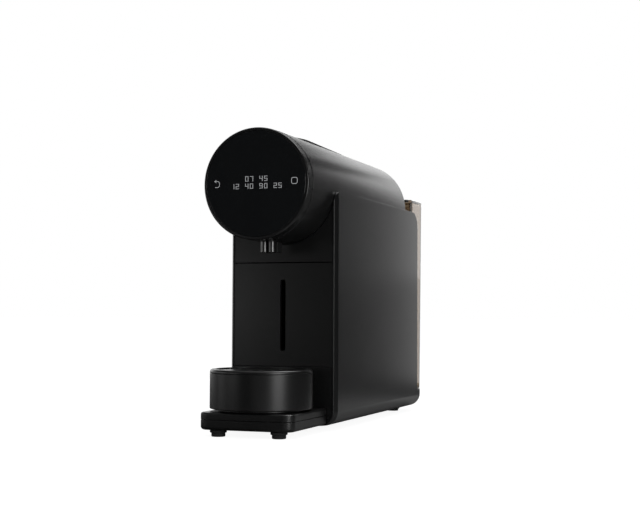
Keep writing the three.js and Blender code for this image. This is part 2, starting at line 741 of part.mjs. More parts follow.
function headTube() {
  const edge = headEdgeRadius;
  const tube = turnedY([[0, headRearY], ...quarter(headRadius - edge, headRearY - edge, edge, 90, 0, 3),
    [headRadius, tubeFrontY], [tubeBore, tubeFrontY],
    ...quarter(tubeBore - edge + headWall, headRearY - edge, edge - headWall, 0, 90, 1),
    [0, headRearY - headWall]], 48);
  const wireWayY = bracketY + bracketThickness + wireWayInset;
  const underside = [-headRadius - 1, -headRadius / 2];
  return cut(union(tube, ...openingRails()),
    alongZ(obround(openingHalfWidth, openingFrontY, openingRearY), headRadius / 2, headRadius + 1),
    box([-chuteHalfWidth - 2, chuteHalfWidth + 2], [chuteFrontY, chuteRearY + 2], underside),
    ...nozzlePlaces.map((x) => rodZ(nozzleRadius + seat, ...underside, x, nozzleY, 16)),
    box([-wireWayHalfWidth, wireWayHalfWidth], [wireWayY, wireWayY + wireWayLength], underside));
}

function dialRing() {
  const glassRebate = glassInset + glassThickness + 0.5;
  return turnedY(closedRing([[glassRadius + seat, 0], [dialRadius - dialBevel, 0], [dialRadius, dialBevel],
    [dialRadius, dialDepth], [glassRadius - 1.7, dialDepth], [glassRadius - 1.7, glassRebate],
    [glassRadius + seat, glassRebate]]));
}

const displayGlass = () => rodY(glassRadius, glassInset, glassInset + glassThickness, 0, 0, 40);

const housingRadius = glassRadius - 2;
const housingWall = 4;
const housingRearY = tubeFrontY + 6;
function displayHousing() {
  const frontY = glassInset + glassThickness + seat;
  const flangeY = dialDepth + seat;
  const bore = housingRadius - housingWall;
  return turnedY([[0, housingRearY], [tubeBore - seat, housingRearY], [tubeBore - seat, flangeY],
    [housingRadius, flangeY], [housingRadius, frontY], [bore, frontY], [bore, housingRearY - 2],
    [0, housingRearY - 2]], 32);
}

const glassRearY = glassInset + glassThickness;
const boardY = glassRearY + boardGap;
const boardRadius = housingRadius - housingWall - seat;
const displayBoard = () => rodY(boardRadius, boardY, boardY + boardThickness, 0, 0, 32);
const displayModule = () => box([-displayHalfWidth, displayHalfWidth],
  [glassRearY + displayGap, boardY - seat], [-displayHalfHeight, displayHalfHeight]);

// ---- capsule lid and its track ------------------------------------------------------------------------
// a curved strip of the head's own curvature, cut to a half width
function curvedStrip(outer, inner, halfWidth, y0, y1, insideHalfWidth = 0) {
  const ring = turnedY(closedRing([[outer, y0], [outer, y1], [inner, y1], [inner, y0]]), 64);
  const strip = common(ring, box([-halfWidth, halfWidth], [y0 - 1, y1 + 1], [0, headRadius]));
  return insideHalfWidth
    ? cut(strip, box([-insideHalfWidth, insideHalfWidth], [y0 - 1, y1 + 1], [0, headRadius]))
    : strip;
}

const lidOuter = tubeBore - seat;
const lidInner = lidOuter - lidThickness;
const lidHalfWidth = openingHalfWidth + lidOverlap;
const lidFrontY = openingFrontY - 3;

function capsuleLid() {
  const gripY = lidFrontY + lidLength - lidGripInset;
  return union(
    curvedStrip(lidOuter, lidInner, lidHalfWidth, lidFrontY, lidFrontY + lidLength),
    curvedStrip(headRadius - 0.6, lidInner + 0.5, openingHalfWidth - 4, gripY, gripY + 3),
    curvedStrip(headRadius - 0.6, lidInner + 0.5, openingHalfWidth - 4, gripY + 6, gripY + 9));
}

function lidTrack() {
  const [outer, inner] = [lidInner - seat, lidInner - seat - trackWall];
  const railHalfWidth = lidHalfWidth + runGap;
  const [frontY, rearY] = [lidFrontY - 1, openingRearY + 8];
  return cut(
    union(curvedStrip(outer, inner, railHalfWidth + 3, frontY, rearY),
      curvedStrip(tubeBore - seat, inner, railHalfWidth + 3, frontY, rearY, railHalfWidth)),
    box([-chuteHalfWidth, chuteHalfWidth], [chuteFrontY, chuteRearY], [0, headRadius]));
}

// ---- spout ------------------------------------------------------------------------------------------
const nozzlePlaces = [-nozzleSpacing / 2, nozzleSpacing / 2];
const manifoldTop = -36;

function spoutBlock() {
  const frontY = nozzleY + nozzleRadius + seat;
  return cut(
    box([-spoutBlockHalfWidth, spoutBlockHalfWidth], [frontY, spoutBlockRearY],
      [nozzleBottomZ - headAxisZ, -headRadius / 2]),
    rodY(headRadius + seat, 0, 100, 0, 0, 64));
}

function spoutNozzle(x, drop) {
  const [bottom, top] = [nozzleBottomZ - headAxisZ + drop, manifoldTop - 4];
  return cut(
    rodZ(nozzleRadius, bottom, top, x, nozzleY, 24),
    rodZ(nozzleBore, bottom - 1, top + 1, x, nozzleY, 16));
}

function spoutManifold() {
  const halfWidth = spoutBlockHalfWidth + 2;
  const [frontY, rearY] = [nozzleY - 7, brewPlateY - seat];
  const block = box([-halfWidth, halfWidth], [frontY, rearY], [-headRadius, manifoldTop]);
  const sockets = nozzlePlaces.map((x) =>
    rodZ(nozzleRadius + seat, -headRadius, manifoldTop - 4 + seat, x, nozzleY, 24));
  return cut(common(block, rodY(tubeBore - seat, frontY - 1, rearY + 1, 0, 0, 48)), ...sockets);
}

// ---- brewing unit --------------------------------------------------------------------------------------
const trackUnderside = lidInner - seat - trackWall;
const guideRodPlaces = [-guideRodX, guideRodX];
const rodEndY = bulkheadY - seat;

function brewPlate() {
  const trackWay = box([-lidHalfWidth - 6, lidHalfWidth + 6], [brewPlateY - 1, brewPlateRearY + 1],
    [trackUnderside - 9.5, headRadius]);
  const rodSockets = guideRodPlaces.map((x) =>
    rodY(guideRodRadius + seat, brewPlateRearY - rodSocketDepth, brewPlateRearY + 1, x, 0, 16));
  return cut(rodY(tubeBore - seat, brewPlateY, brewPlateRearY, 0, 0, 36), trackWay, ...rodSockets,
    rodY(chamberBore - 2, brewPlateRearY - 2, brewPlateRearY + 1, 0, 0, 24));
}

// a capsule drops between two guides, and the piston's chamber passes between them
const guideX = chamberRadius + 3.2;
const guideRearY = pistonRestY + chamberLength + 3 - brewTravel - 2;
const capsuleGuide = (x) =>
  box([x - 1.2, x + 1.2], [brewPlateRearY + seat, guideRearY], [-14, trackUnderside - 12]);

const guideRod = (x) => rodY(guideRodRadius, brewPlateRearY - rodSocketDepth + seat, rodEndY, x, 0, 16);

// a cup that closes round the capsule, three needles that pierce it, and a crossbar on the guide rods
function brewPiston() {
  const mouthY = pistonRestY;
  const backY = mouthY + chamberLength;
  const floorY = backY - chamberFloor;
  const barY = backY + 3;
  const barRearY = barY + barThickness;
  const chamber = turnedY([[0, backY], [chamberRadius, backY], [chamberRadius, mouthY], [chamberBore, mouthY],
    [chamberBore, mouthY + 4], [chamberBore - 2.5, floorY], [0, floorY]], 24);
  const needles = [90, 210, 330].map(THREE.MathUtils.degToRad).map((angle) => rodY(1.3, floorY - needleLength,
    floorY + 0.5, needleCircle * Math.cos(angle), needleCircle * Math.sin(angle), 6, 0.2));
  const bar = box([-guideRodX - 7, guideRodX + 7], [barY, barRearY], [-6, 6]);
  const tail = rodY(tailRadiusOuter, backY - 1, pistonTailY, 0, 0, 20);
  return cut(union(chamber, tail, bar, ...needles),
    rodY(screwRadius + runGap, backY + 5, pistonTailY + 1, 0, 0, 20),
    ...guideRodPlaces.map((x) => rodY(guideRodRadius + runGap, barY - 1, barRearY + 1, x, 0, 16)));
}

// the screw's collar bears on the bulkhead, so the gear keeps its place while the piston is pushed
const screwStartY = pistonRestY + chamberLength + 8;
function leadScrew() {
  const collarY = bulkheadY + bulkheadThickness + seat;
  return union(
    rodY(screwRadius, screwStartY, bracketY + bracketThickness, 0, 0, 16),
    rodY(screwCollarRadius, collarY, gearY - seat, 0, 0, 16));
}

// the gear has a thinner web between its rim and its hub
function screwGear() {
  const rimInner = gearModule * (gearTeeth / 2 - 3.2);
  const rearY = gearY + gearWidth;
  const webRing = (y0, y1) => turnedY(closedRing([[rimInner, y0], [rimInner, y1], [gearHubRadius, y1],
    [gearHubRadius, y0]]), 16);
  return cut(alongY(gearOutline(gearTeeth, gearModule), gearY, rearY),
    webRing(gearY - 1, gearY + gearWebInset), webRing(rearY - gearWebInset, rearY + 1),
    rodY(screwRadius + seat, gearY - 1, rearY + 1, 0, 0, 16));
}

function motorPinion() {
  const rearY = gearY + gearWidth;
  const shaft = rodY(motorShaftRadius, rearY - 1, bracketY + bracketThickness + 6, 0, 0, 12);
  return union(alongY(gearOutline(pinionTeeth, gearModule, 0.5), gearY, rearY), shaft);
}

// a can with a raised bearing boss at its rear end and two terminals
function driveMotor() {
  const edge = 1.5;
  const bossRadius = 5;
  const frontY = bracketY + bracketThickness + seat;
  const rearY = frontY + motorLength;
  const can = turnedY([[0, frontY], [motorRadius - edge, frontY], [motorRadius, frontY + edge],
    [motorRadius, rearY - edge], [motorRadius - edge, rearY], [bossRadius, rearY], [bossRadius, rearY + 2],
    [0, rearY + 2]], 20);
  const terminals = [-9, 9].map((x) => box([x - 0.4, x + 0.4], [rearY - 1, rearY + 6], [-2.4, 2.4]));
  return cut(union(can, ...terminals), rodY(motorShaftRadius + seat, frontY - 1, frontY + 8, 0, 0, 12));
}

// a round wall across the head, with a hole through it for each shaft [radius, z]
function shaftWall(y, thickness, shafts) {
  const holes = shafts.map(([radius, z]) => rodY(radius + seat, y - 1, y + thickness + 1, 0, z, 20));
  return cut(rodY(tubeBore - seat, y, y + thickness, 0, 0, 36), ...holes);
}
const driveBulkhead = () => shaftWall(bulkheadY, bulkheadThickness, [[screwRadius, 0]]);
const motorBracket = () => shaftWall(bracketY, bracketThickness,
  [[screwRadius, 0], [motorShaftRadius, pinionRise]]);

// ---- water path and electrics in the body -----------------------------------------------------------------
const bayRearY = bulkheadFrontY + frameWall;

// an oscillating pump: inlet nipple, coil with its two terminals, and outlet nipple
function pump() {
  const coilY = pumpFrontY + 12;
  const endY = pumpFrontY + pumpLength;
  const coilEndY = endY - 16;
  const body = turnedY([[0, pumpFrontY - pumpNippleLength], [3.5, pumpFrontY - pumpNippleLength],
    [3.5, pumpFrontY - 4], [7, pumpFrontY - 4], [7, pumpFrontY], [pumpRadius - 4, pumpFrontY],
    [pumpRadius - 4, coilY], [pumpRadius, coilY], [pumpRadius, coilEndY], [pumpRadius - 6, coilEndY],
    [pumpRadius - 6, endY], [4, endY], [4, endY + pumpTailLength], [0, endY + pumpTailLength]], 16);
  const terminals = [-6, 6].map((x) =>
    box([x - 0.4, x + 0.4], [coilY + 6, coilY + 12], [pumpRadius - 4, pumpRadius + 7]));
  return union(body, ...terminals);
}

function pumpMount(y) {
  const rearY = y + pumpMountThickness;
  return cut(box([pumpX - 13, pumpX + 13], [y, rearY], [floorTopZ + seat, pumpZ - 4]),
    rodY(pumpRadius + seat, y - 1, rearY + 1, pumpX, pumpZ, 28));
}

// a cast block with fins below, and an outlet, a thermostat and the heater's two terminals on top
function thermoblock() {
  const frontY = bayRearY + seat;
  const rearY = frontY + heaterLength;
  const topZ = heaterBottomZ + heaterHeight;
  const finX = heaterHalfWidth - 6;
  const fins = Array.from({ length: finCount }, (_, i) => {
    const x = -finX + 2 * finX * i / (finCount - 1);
    return box([x - 1.5, x + 1.5], [frontY + 4, rearY - 4], [heaterBottomZ - finHeight, heaterBottomZ + 1]);
  });
  const block = box([-heaterHalfWidth, heaterHalfWidth], [frontY, rearY], [heaterBottomZ, topZ]);
  const outlet = rodZ(4, topZ - 1, topZ + 8, -10, rearY - 20, 12);
  const thermostat = rodZ(8, topZ - 1, topZ + 4, 12, (frontY + rearY) / 2, 16);
  const terminals = [-heaterHalfWidth + 8, heaterHalfWidth - 8].map((x) =>
    rodZ(3, topZ - 1, topZ + 7, x, rearY - 6, 12));
  return union(block, outlet, thermostat, ...terminals, ...fins);
}

// parts on the circuit board: [place along it, height of their middle, length, height]
const boardParts = [
  [20, 60, 14, 18], [46, 84, 18, 12], [70, 60, 22, 24], [74, 112, 12, 10], [28, 112, 16, 20]];
function mainBoard() {
  const x = boardInset - shellHalfWidth;
  const [frontY, rearY] = [bayRearY + seat, bulkheadRearY - seat];
  const parts = boardParts.map(([y, z, length, height]) => box([x + 1, x + boardThickness + height / 2],
    [frontY + y, frontY + y + length], [z - height / 2, z + height / 2]));
  return union(box([x, x + boardThickness], [frontY, rearY], [boardBottomZ, boardTopZ]), ...parts);
}

const meterY = rearPanelY - meterInset;
const meterFrontY = meterY - meterRadius - meterNippleLength;
function flowMeter() {
  const nipple = (y0, y1) => rodY(3.5, y0, y1, 0, meterZ, 12);
  return union(rodZ(meterRadius, floorTopZ + seat, meterZ + 8, 0, meterY, 24),
    nipple(meterY + meterRadius - 2, rearPanelY - seat), nipple(meterFrontY, meterY - meterRadius + 2));
}

const pumpRearY = pumpFrontY + pumpLength + pumpTailLength;
const suctionHose = () => bentRod([[0, meterFrontY - seat, meterZ], [0, meterFrontY - 3, meterZ],
  [pumpX / 2, (meterFrontY + pumpRearY) / 2, (meterZ + pumpZ) / 2],
  [pumpX, pumpRearY + 3, pumpZ], [pumpX, pumpRearY + seat, pumpZ]], 3, 14);

const pumpNoseY = pumpFrontY - pumpNippleLength;
const pressureHose = () => bentRod([[pumpX, pumpNoseY - seat, pumpZ], [pumpX, pumpNoseY - 3, pumpZ],
  [pumpX, pumpNoseY - 3, pumpZ + 20], [pumpX, pumpFrontY - 8, 90], [pumpX, pumpFrontY, heaterBottomZ - 12],
  [pumpX, pumpFrontY, heaterBottomZ - finHeight - seat]], 2.5, 16);

// ---- assembly ---------------------------------------------------------------------------------------------
addPiece(placed, 'outer_shell', outerShell(), shellBlack);
addPiece(placed, 'chassis', chassis(), innerBlack);
addPiece(placed, 'rear_panel', rearPanel(), innerBlack);
addPiece(placed, 'tank_dock', tankDock(), innerBlack);
addPiece(placed, 'cord_gland', cordGland(), rubberBlack);
addPiece(placed, 'upper_front_panel', upperFrontPanel(), satinBlack);
addPiece(placed, 'lower_front_panel', lowerFrontPanel(), satinBlack);
addPiece(placed, 'bin_bay', binBay(), innerBlack);

const bin = addGroup(placed);
addPiece(bin, 'bin_front', binFront(), satinBlack);
addPiece(bin, 'capsule_bin', capsuleBin(), satinBlack);

addPiece(placed, 'base_tray', baseTray(), satinBlack);
addPiece(placed, 'base_plate', basePlate(), satinBlack);
for (const [end, y, topZ] of [['front', footFrontY, baseBottomZ], ['rear', footRearY, shellBottomZ]]) {
  for (const [side, x] of [['left', -footX], ['right', footX]]) {
    addPiece(addGroup(placed, x, y), `foot_${end}_${side}`, foot(topZ), rubberBlack);
  }
}

const cup = addGroup(placed, 0, cupCentreY);
addPiece(cup, 'drip_cup', dripCup(), satinBlack);
addPiece(cup, 'drip_lid', dripLid(), satinBlack);

const head = addGroup(placed, 0, 0, headAxisZ);
addPiece(head, 'head_tube', headTube(), shellBlack);
addPiece(head, 'dial_ring', dialRing(), satinBlack);
addPiece(head, 'display_glass', displayGlass(), glossBlack);
addPiece(head, 'display_housing', displayHousing(), innerBlack);
addPiece(head, 'display_board', displayBoard(), boardGreen);
addPiece(head, 'display_module', displayModule(), glossBlack);
addPiece(head, 'capsule_lid', capsuleLid(), satinBlack);
addPiece(head, 'lid_track', lidTrack(), innerBlack);
addPiece(head, 'spout_block', spoutBlock(), innerBlack);
addPiece(head, 'spout_nozzle_left', spoutNozzle(nozzlePlaces[0], 0), chrome);
addPiece(head, 'spout_nozzle_right', spoutNozzle(nozzlePlaces[1], 0), chrome);
addPiece(head, 'spout_manifold', spoutManifold(), whitePlastic);
addPiece(head, 'brew_plate', brewPlate(), whitePlastic);
addPiece(head, 'capsule_guide_left', capsuleGuide(-guideX), whitePlastic);
addPiece(head, 'capsule_guide_right', capsuleGuide(guideX), whitePlastic);
addPiece(head, 'guide_rod_left', guideRod(-guideRodX), steel);
addPiece(head, 'guide_rod_right', guideRod(guideRodX), steel);
addPiece(head, 'brew_piston', brewPiston(), whitePlastic);
addPiece(head, 'lead_screw', leadScrew(), steel);
addPiece(head, 'screw_gear', screwGear(), whitePlastic);
addPiece(head, 'drive_bulkhead', driveBulkhead(), innerBlack);
addPiece(head, 'motor_bracket', motorBracket(), steel);

const motor = addGroup(head, 0, 0, pinionRise);
addPiece(motor, 'motor_pinion', motorPinion(), steel);
addPiece(motor, 'drive_motor', driveMotor(), steel);

addPiece(placed, 'tank_body', tankBody(), amber);
addPiece(placed, 'tank_lid', tankLid(), amber);
addPiece(placed, 'tank_grip', tankGrip(), satinBlack);
addPiece(placed, 'tank_valve', tankValve(), innerBlack);
addPiece(addGroup(placed, 0, valveY), 'valve_plunger', valvePlunger(), whitePlastic);

addPiece(addGroup(placed, pumpX, 0, pumpZ), 'pump', pump(), castAluminium);
addPiece(placed, 'pump_mount_front', pumpMount(pumpFrontY + pumpMountInsets[0]), rubberBlack);
addPiece(placed, 'pump_mount_rear', pumpMount(pumpFrontY + pumpMountInsets[1]), rubberBlack);
addPiece(placed, 'thermoblock', thermoblock(), castAluminium);
addPiece(placed, 'main_board', mainBoard(), boardGreen);
addPiece(placed, 'flow_meter', flowMeter(), whitePlastic);
addPiece(placed, 'suction_hose', suctionHose(), siliconeGrey);
addPiece(placed, 'pressure_hose', pressureHose(), siliconeGrey);

export default machine;
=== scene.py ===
"""A pod coffee machine: fine surfaces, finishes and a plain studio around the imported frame."""
import json
import math

import bmesh
import bpy
from mathutils import Matrix, Vector

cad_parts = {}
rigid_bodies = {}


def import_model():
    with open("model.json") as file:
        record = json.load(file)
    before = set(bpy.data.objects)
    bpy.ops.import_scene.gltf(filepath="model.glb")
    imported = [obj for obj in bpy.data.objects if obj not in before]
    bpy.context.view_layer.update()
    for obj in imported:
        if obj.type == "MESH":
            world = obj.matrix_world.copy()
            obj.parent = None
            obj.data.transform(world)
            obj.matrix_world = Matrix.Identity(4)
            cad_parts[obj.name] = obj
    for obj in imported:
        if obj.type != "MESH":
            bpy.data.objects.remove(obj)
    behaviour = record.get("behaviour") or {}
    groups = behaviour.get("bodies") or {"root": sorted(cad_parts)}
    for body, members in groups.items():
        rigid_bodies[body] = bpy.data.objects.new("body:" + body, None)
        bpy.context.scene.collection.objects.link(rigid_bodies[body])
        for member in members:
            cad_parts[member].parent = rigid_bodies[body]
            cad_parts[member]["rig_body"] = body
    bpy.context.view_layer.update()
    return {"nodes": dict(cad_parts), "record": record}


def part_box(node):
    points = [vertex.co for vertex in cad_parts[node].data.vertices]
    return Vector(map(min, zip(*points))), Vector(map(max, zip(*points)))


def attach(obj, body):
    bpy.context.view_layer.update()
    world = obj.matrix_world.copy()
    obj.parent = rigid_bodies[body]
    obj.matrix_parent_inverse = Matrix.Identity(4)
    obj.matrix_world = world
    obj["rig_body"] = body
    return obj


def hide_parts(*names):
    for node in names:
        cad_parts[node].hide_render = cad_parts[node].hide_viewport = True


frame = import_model()

MM = 0.001
SEAT = 0.3 * MM                   # gap between pieces that touch
RUN_GAP = 0.4 * MM                # gap round the head inside the shell
SLOT_OF = {part["node"]: part["material_slot"] for part in frame["record"]["subparts"]}
FEET = ("foot_front_left", "foot_front_right", "foot_rear_left", "foot_rear_right")
NOZZLES = ("spout_nozzle_left", "spout_nozzle_right")


class Extent:
    """A node's box, with a name for each of its faces."""

    def __init__(self, node):
        low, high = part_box(node)
        self.node = node
        self.left, self.front, self.bottom = low
        self.right, self.rear, self.top = high
        self.x, self.y, self.z = (low + high) / 2
        self.half_width = (self.right - self.left) / 2


shell = Extent("outer_shell")
head = Extent("head_tube")
dial = Extent("dial_ring")
glass = Extent("display_glass")
tank = Extent("tank_body")
head_radius = head.half_width
axis_z = dial.z


# ---- node trees -----------------------------------------------------------------------------------
class Wire:
    """One output of a node. Arithmetic on it adds Math nodes to the same tree."""

    def __init__(self, web, socket):
        self.web = web
        self.socket = socket

    def out(self, name):
        return Wire(self.web, self.socket.node.outputs[name])

    def math(self, operation, *values):
        return self.web.add("ShaderNodeMath", {"operation": operation}, dict(enumerate(values)))

    def __add__(self, other):
        return self.math("ADD", self, other)

    def __radd__(self, other):
        return self.math("ADD", other, self)

    def __sub__(self, other):
        return self.math("SUBTRACT", self, other)

    def __rsub__(self, other):
        return self.math("SUBTRACT", other, self)

    def __mul__(self, other):
        return self.math("MULTIPLY", self, other)

    def __rmul__(self, other):
        return self.math("MULTIPLY", other, self)


class Web:
    """A node tree of either kind, with one method that adds any node."""

    def __init__(self, tree):
        self.tree = tree

    def add(self, kind, settings=None, inputs=None, output=0):
        node = self.tree.nodes.new(kind)
        for name, value in (settings or {}).items():
            setattr(node, name, value)
        for key, value in (inputs or {}).items():
            if isinstance(value, Wire):
                self.tree.links.new(value.socket, node.inputs[key])
            else:
                node.inputs[key].default_value = value
        return Wire(self, node.outputs[output]) if node.outputs else node

    def join(self, *parts):
        """Puts geometries together, the first one first."""
        joined = self.add("GeometryNodeJoinGeometry")
        for part in reversed(parts):
            self.tree.links.new(part.socket, joined.socket.node.inputs[0])
        return joined

    def across(self, coordinates="Object"):
        """The X of coordinates, whose node gives their Y and Z too."""
        place = self.add("ShaderNodeTexCoord", output=coordinates)
        return self.add("ShaderNodeSeparateXYZ", inputs={0: place})

    def sight(self):
        """Masks of what the camera sees, straight or through clear plastic, and of what gloss reflects."""
        path = self.add("ShaderNodeLightPath", output="Is Camera Ray")
        return path.math("MAXIMUM", path, path.out("Is Transmission Ray")), path.out("Is Glossy Ray")

    def mix(self, share, first, second):
        return self.add("ShaderNodeMix", {"data_type": "RGBA"}, {0: share, 6: first, 7: second}, 2)

    def shades(self, share, low, high, warmth=0.0):
        """A grey whose level goes from low to high with a share."""
        return self.mix(share, tone(low, warmth), tone(high, warmth))

    def noise(self, scale, detail=2.0, stretch=(1, 1, 1)):
        place = self.add("ShaderNodeTexCoord", output="Object")
        if stretch != (1, 1, 1):
            place = self.add("ShaderNodeMapping", inputs={"Vector": place, "Scale": stretch})
        return self.add("ShaderNodeTexNoise", inputs={"Vector": place, "Scale": scale, "Detail": detail})

    def span(self, value, low, high, start=0.0, end=1.0):
        """Eases from start to end as a value goes from low to high."""
        return self.add("ShaderNodeMapRange", {"interpolation_type": "SMOOTHSTEP"},
                        {"Value": value, "From Min": low, "From Max": high, "To Min": start, "To Max": end})

    def bump(self, height, depth):
        return self.add("ShaderNodeBump", inputs={"Height": height, "Distance": depth, "Strength": 1.0})


def shader_web(owner):
    """The emptied node tree of a material or a world."""
    owner.use_nodes = True
    owner.node_tree.nodes.clear()
    return Web(owner.node_tree)


# ---- finishes -------------------------------------------------------------------------------------
def tone(level, warmth=0.0):
    """A grey with its red raised and its blue lowered by a share of the level."""
    return (level * (1 + warmth), level, level * (1 - warmth), 1)


def finish(name, fixed, build):
    """A material of one Principled shader: fixed sockets, and those that its build function wires."""
    material = bpy.data.materials.new(name)
    web = shader_web(material)
    shader = web.add("ShaderNodeBsdfPrincipled", inputs={**fixed, **build(web)})
    web.add("ShaderNodeOutputMaterial", inputs={"Surface": shader})
    return material


def pebbled(name, level, roughness, grain, depth, warmth=-0.03, drift=0.04):
    """Paint or moulded plastic: a fine pebbled skin whose gloss and tone drift a little."""
    def build(web):
        pebble = web.noise(grain, 3.0)
        cloud = web.noise(17.0, 3.0)
        return {"Base Color": web.shades(cloud, level * 0.88, level * 1.12, warmth),
                "Roughness": roughness - drift / 2 + drift * cloud + 0.05 * pebble,
                "Normal": web.bump(pebble, depth)}
    return finish(name, {"IOR": 1.5}, build)


def polished_glass():
    """The black display window, with the faint bloom that wiping leaves."""
    def build(web):
        bloom = web.noise(38.0, 4.0, (1, 1, 0.35))
        return {"Base Color": web.shades(bloom, 0.0044, 0.0056, -0.1),
                "Roughness": web.span(bloom, 0.45, 0.75, 0.035, 0.075)}
    return finish("display_glass", {"IOR": 1.5}, build)


def drawn_metal(name, level, roughness, warmth, streak):
    """Bright or darkened metal with fine marks along the way it was worked."""
    def build(web):
        marks = web.noise(420.0, 3.0, streak)
        return {"Base Color": web.shades(marks, level * 0.93, level * 1.05, warmth),
                "Roughness": roughness * (0.75 + 0.5 * marks),
                "Normal": web.bump(marks, 0.006 * MM)}
    return finish(name, {"Metallic": 1.0}, build)


def cast_metal():
    """A casting: dull, pitted and a little uneven in tone."""
    def build(web):
        pits = web.noise(950.0, 4.0)
        cloud = web.noise(60.0, 3.0)
        return {"Base Color": web.shades(cloud, 0.5, 0.66),
                "Roughness": 0.42 + 0.22 * pits,
                "Normal": web.bump(pits, 0.05 * MM)}
    return finish("cast_alloy", {"Metallic": 1.0}, build)


def smoked_plastic():
    """The tank's clear plastic: a warm brown tint, with painted shade that darkens its front wall and most of
    all its right end.
    """
    def build(web):
        wave = web.noise(26.0, 2.0, (1, 1, 0.4))
        across = web.across()
        # Painted shade: the front wall, where the tank meets the body, is painted a darker brown, and its
        # right end near black.
        front = web.span(across.out("Y"), tank.front + 2.4 * MM, tank.front + 3.4 * MM, 1, 0)
        corner = front * web.span(across, tank.right - 3.2 * MM, tank.right - 2.2 * MM)
        clear = web.mix(wave, (0.40, 0.325, 0.25, 1), (0.43, 0.355, 0.275, 1))
        # The clear tint with the front wall's painted shade laid over it.
        tint_with_painted_shade = web.mix(front, clear, (0.21, 0.17, 0.12, 1))
        return {"Base Color": web.mix(corner, tint_with_painted_shade, (0.06, 0.035, 0.02, 1)),
                "Roughness": 0.03 + 0.05 * wave,
                "Normal": web.bump(wave, 0.25 * MM)}
    return finish("smoked_plastic", {"Transmission Weight": 1.0, "IOR": 1.46}, build)


def solder_mask():
    """A green circuit board with a lighter weave of tracks under the mask."""
    def build(web):
        place = web.add("ShaderNodeTexCoord", output="Object")
        upright = web.add("ShaderNodeMapping", inputs={"Vector": place, "Rotation": (0, math.pi / 2, 0)})
        track = web.add("ShaderNodeTexBrick", inputs={
            "Vector": upright, "Scale": 260.0, "Mortar Size": 0.08, "Mortar Smooth": 0.2}, output="Fac")
        return {"Base Color": web.mix(track, (0.010, 0.085, 0.035, 1), (0.05, 0.20, 0.08, 1)),
                "Roughness": 0.32 + 0.1 * track,
                "Normal": web.bump(track, 0.04 * MM)}
    return finish("solder_mask", {"IOR": 1.5}, build)


def lit_tiles():
    """Lit display tiles: dim grey and a little uneven."""
    def build(web):
        flicker = web.noise(900.0)
        return {"Emission Color": web.shades(flicker, 0.34, 0.44, -0.02),
                "Base Color": web.shades(flicker, 0.02, 0.03)}
    return finish("display_pixels", {"Emission Strength": 1.0, "Roughness": 0.4}, build)


GLOW = lit_tiles()
FINISHES = {
    "shell_satin": pebbled("shell_paint", 0.0054, 0.225, 2400.0, 0.003 * MM),
    "satin_black": pebbled("satin_plastic", 0.0046, 0.29, 1900.0, 0.006 * MM),
    "inner_black": pebbled("moulded_plastic", 0.0042, 0.5, 1300.0, 0.03 * MM, drift=0.08),
    "display_gloss": polished_glass(),
    "rubber_black": pebbled("soft_rubber", 0.010, 0.78, 1500.0, 0.04 * MM, drift=0.1),
    "chrome": drawn_metal("dark_chrome", 0.12, 0.32, 0.0, (1, 1, 0.05)),
    "steel": drawn_metal("turned_steel", 0.55, 0.28, 0.01, (1, 6, 1)),
    "tank_smoke": smoked_plastic(),
    "board_green": solder_mask(),
    "cast_aluminium": cast_metal(),
    "white_plastic": pebbled("natural_plastic", 0.62, 0.42, 1200.0, 0.02 * MM, warmth=0.05, drift=0.1),
    "hose_silicone": pebbled("milky_silicone", 0.5, 0.35, 700.0, 0.01 * MM, warmth=0.03, drift=0.1),
}


# ---- mesh tools -----------------------------------------------------------------------------------
def new_piece(name, points, faces):
    mesh = bpy.data.meshes.new(name)
    mesh.from_pydata(points, [], faces)
    piece = bpy.data.objects.new(name, mesh)
    bpy.context.scene.collection.objects.link(piece)
    return piece


def clean(piece, merge=0.002 * MM, flat=None):
    """Merges doubles, dissolves flat seams if asked, and turns all faces outwards."""
    work = bmesh.new()
    work.from_mesh(piece.data)
    bmesh.ops.remove_doubles(work, verts=work.verts, dist=merge)
    if flat is not None:
        bmesh.ops.dissolve_limit(work, angle_limit=math.radians(flat), verts=work.verts, edges=work.edges)
    bmesh.ops.recalc_face_normals(work, faces=work.faces)
    work.to_mesh(piece.data)
    work.free()
    return piece


def settle(piece):
    """Makes a piece's modifiers part of its mesh."""
    depsgraph = bpy.context.evaluated_depsgraph_get()
    mesh = bpy.data.meshes.new_from_object(piece.evaluated_get(depsgraph), depsgraph=depsgraph)
    plain = piece.data
    piece.modifiers.clear()
    piece.data = mesh
    bpy.data.meshes.remove(plain)
    return piece


def shade(piece, sharp=30):
    """Smooth shading that breaks at sharp edges and keeps flat faces flat."""
    piece.data.shade_smooth()
    piece.data.set_sharp_from_angle(angle=math.radians(sharp))
    weighted = piece.modifiers.new("weighted", "WEIGHTED_NORMAL")
    weighted.keep_sharp = True
    return settle(piece)


def round_edges(piece, width, steps, limit):
    """Rounds the edges whose faces turn by more than a limit."""
    bevel = piece.modifiers.new("ease", "BEVEL")
    bevel.width = width
    bevel.segments = steps
    bevel.limit_method = "ANGLE"
    bevel.angle_limit = math.radians(limit)
    return settle(piece)


def ease(piece, width, steps, limit=32):
    """Rounds the sharp edges of a piece and shades it."""
    return shade(round_edges(clean(piece, 0.05 * MM), width, steps, limit), 35)


def carve(piece, *tools, keep="DIFFERENCE"):
    """Cuts tools out of a piece, joins them to it or keeps what they share, and throws the tools away."""
    for tool in tools:
        boolean = piece.modifiers.new("carve", "BOOLEAN")
        boolean.object = tool
        boolean.operation = keep
        boolean.solver = "MANIFOLD"
    settle(piece)
    for tool in tools:
        bpy.data.objects.remove(tool)
    return clean(piece)


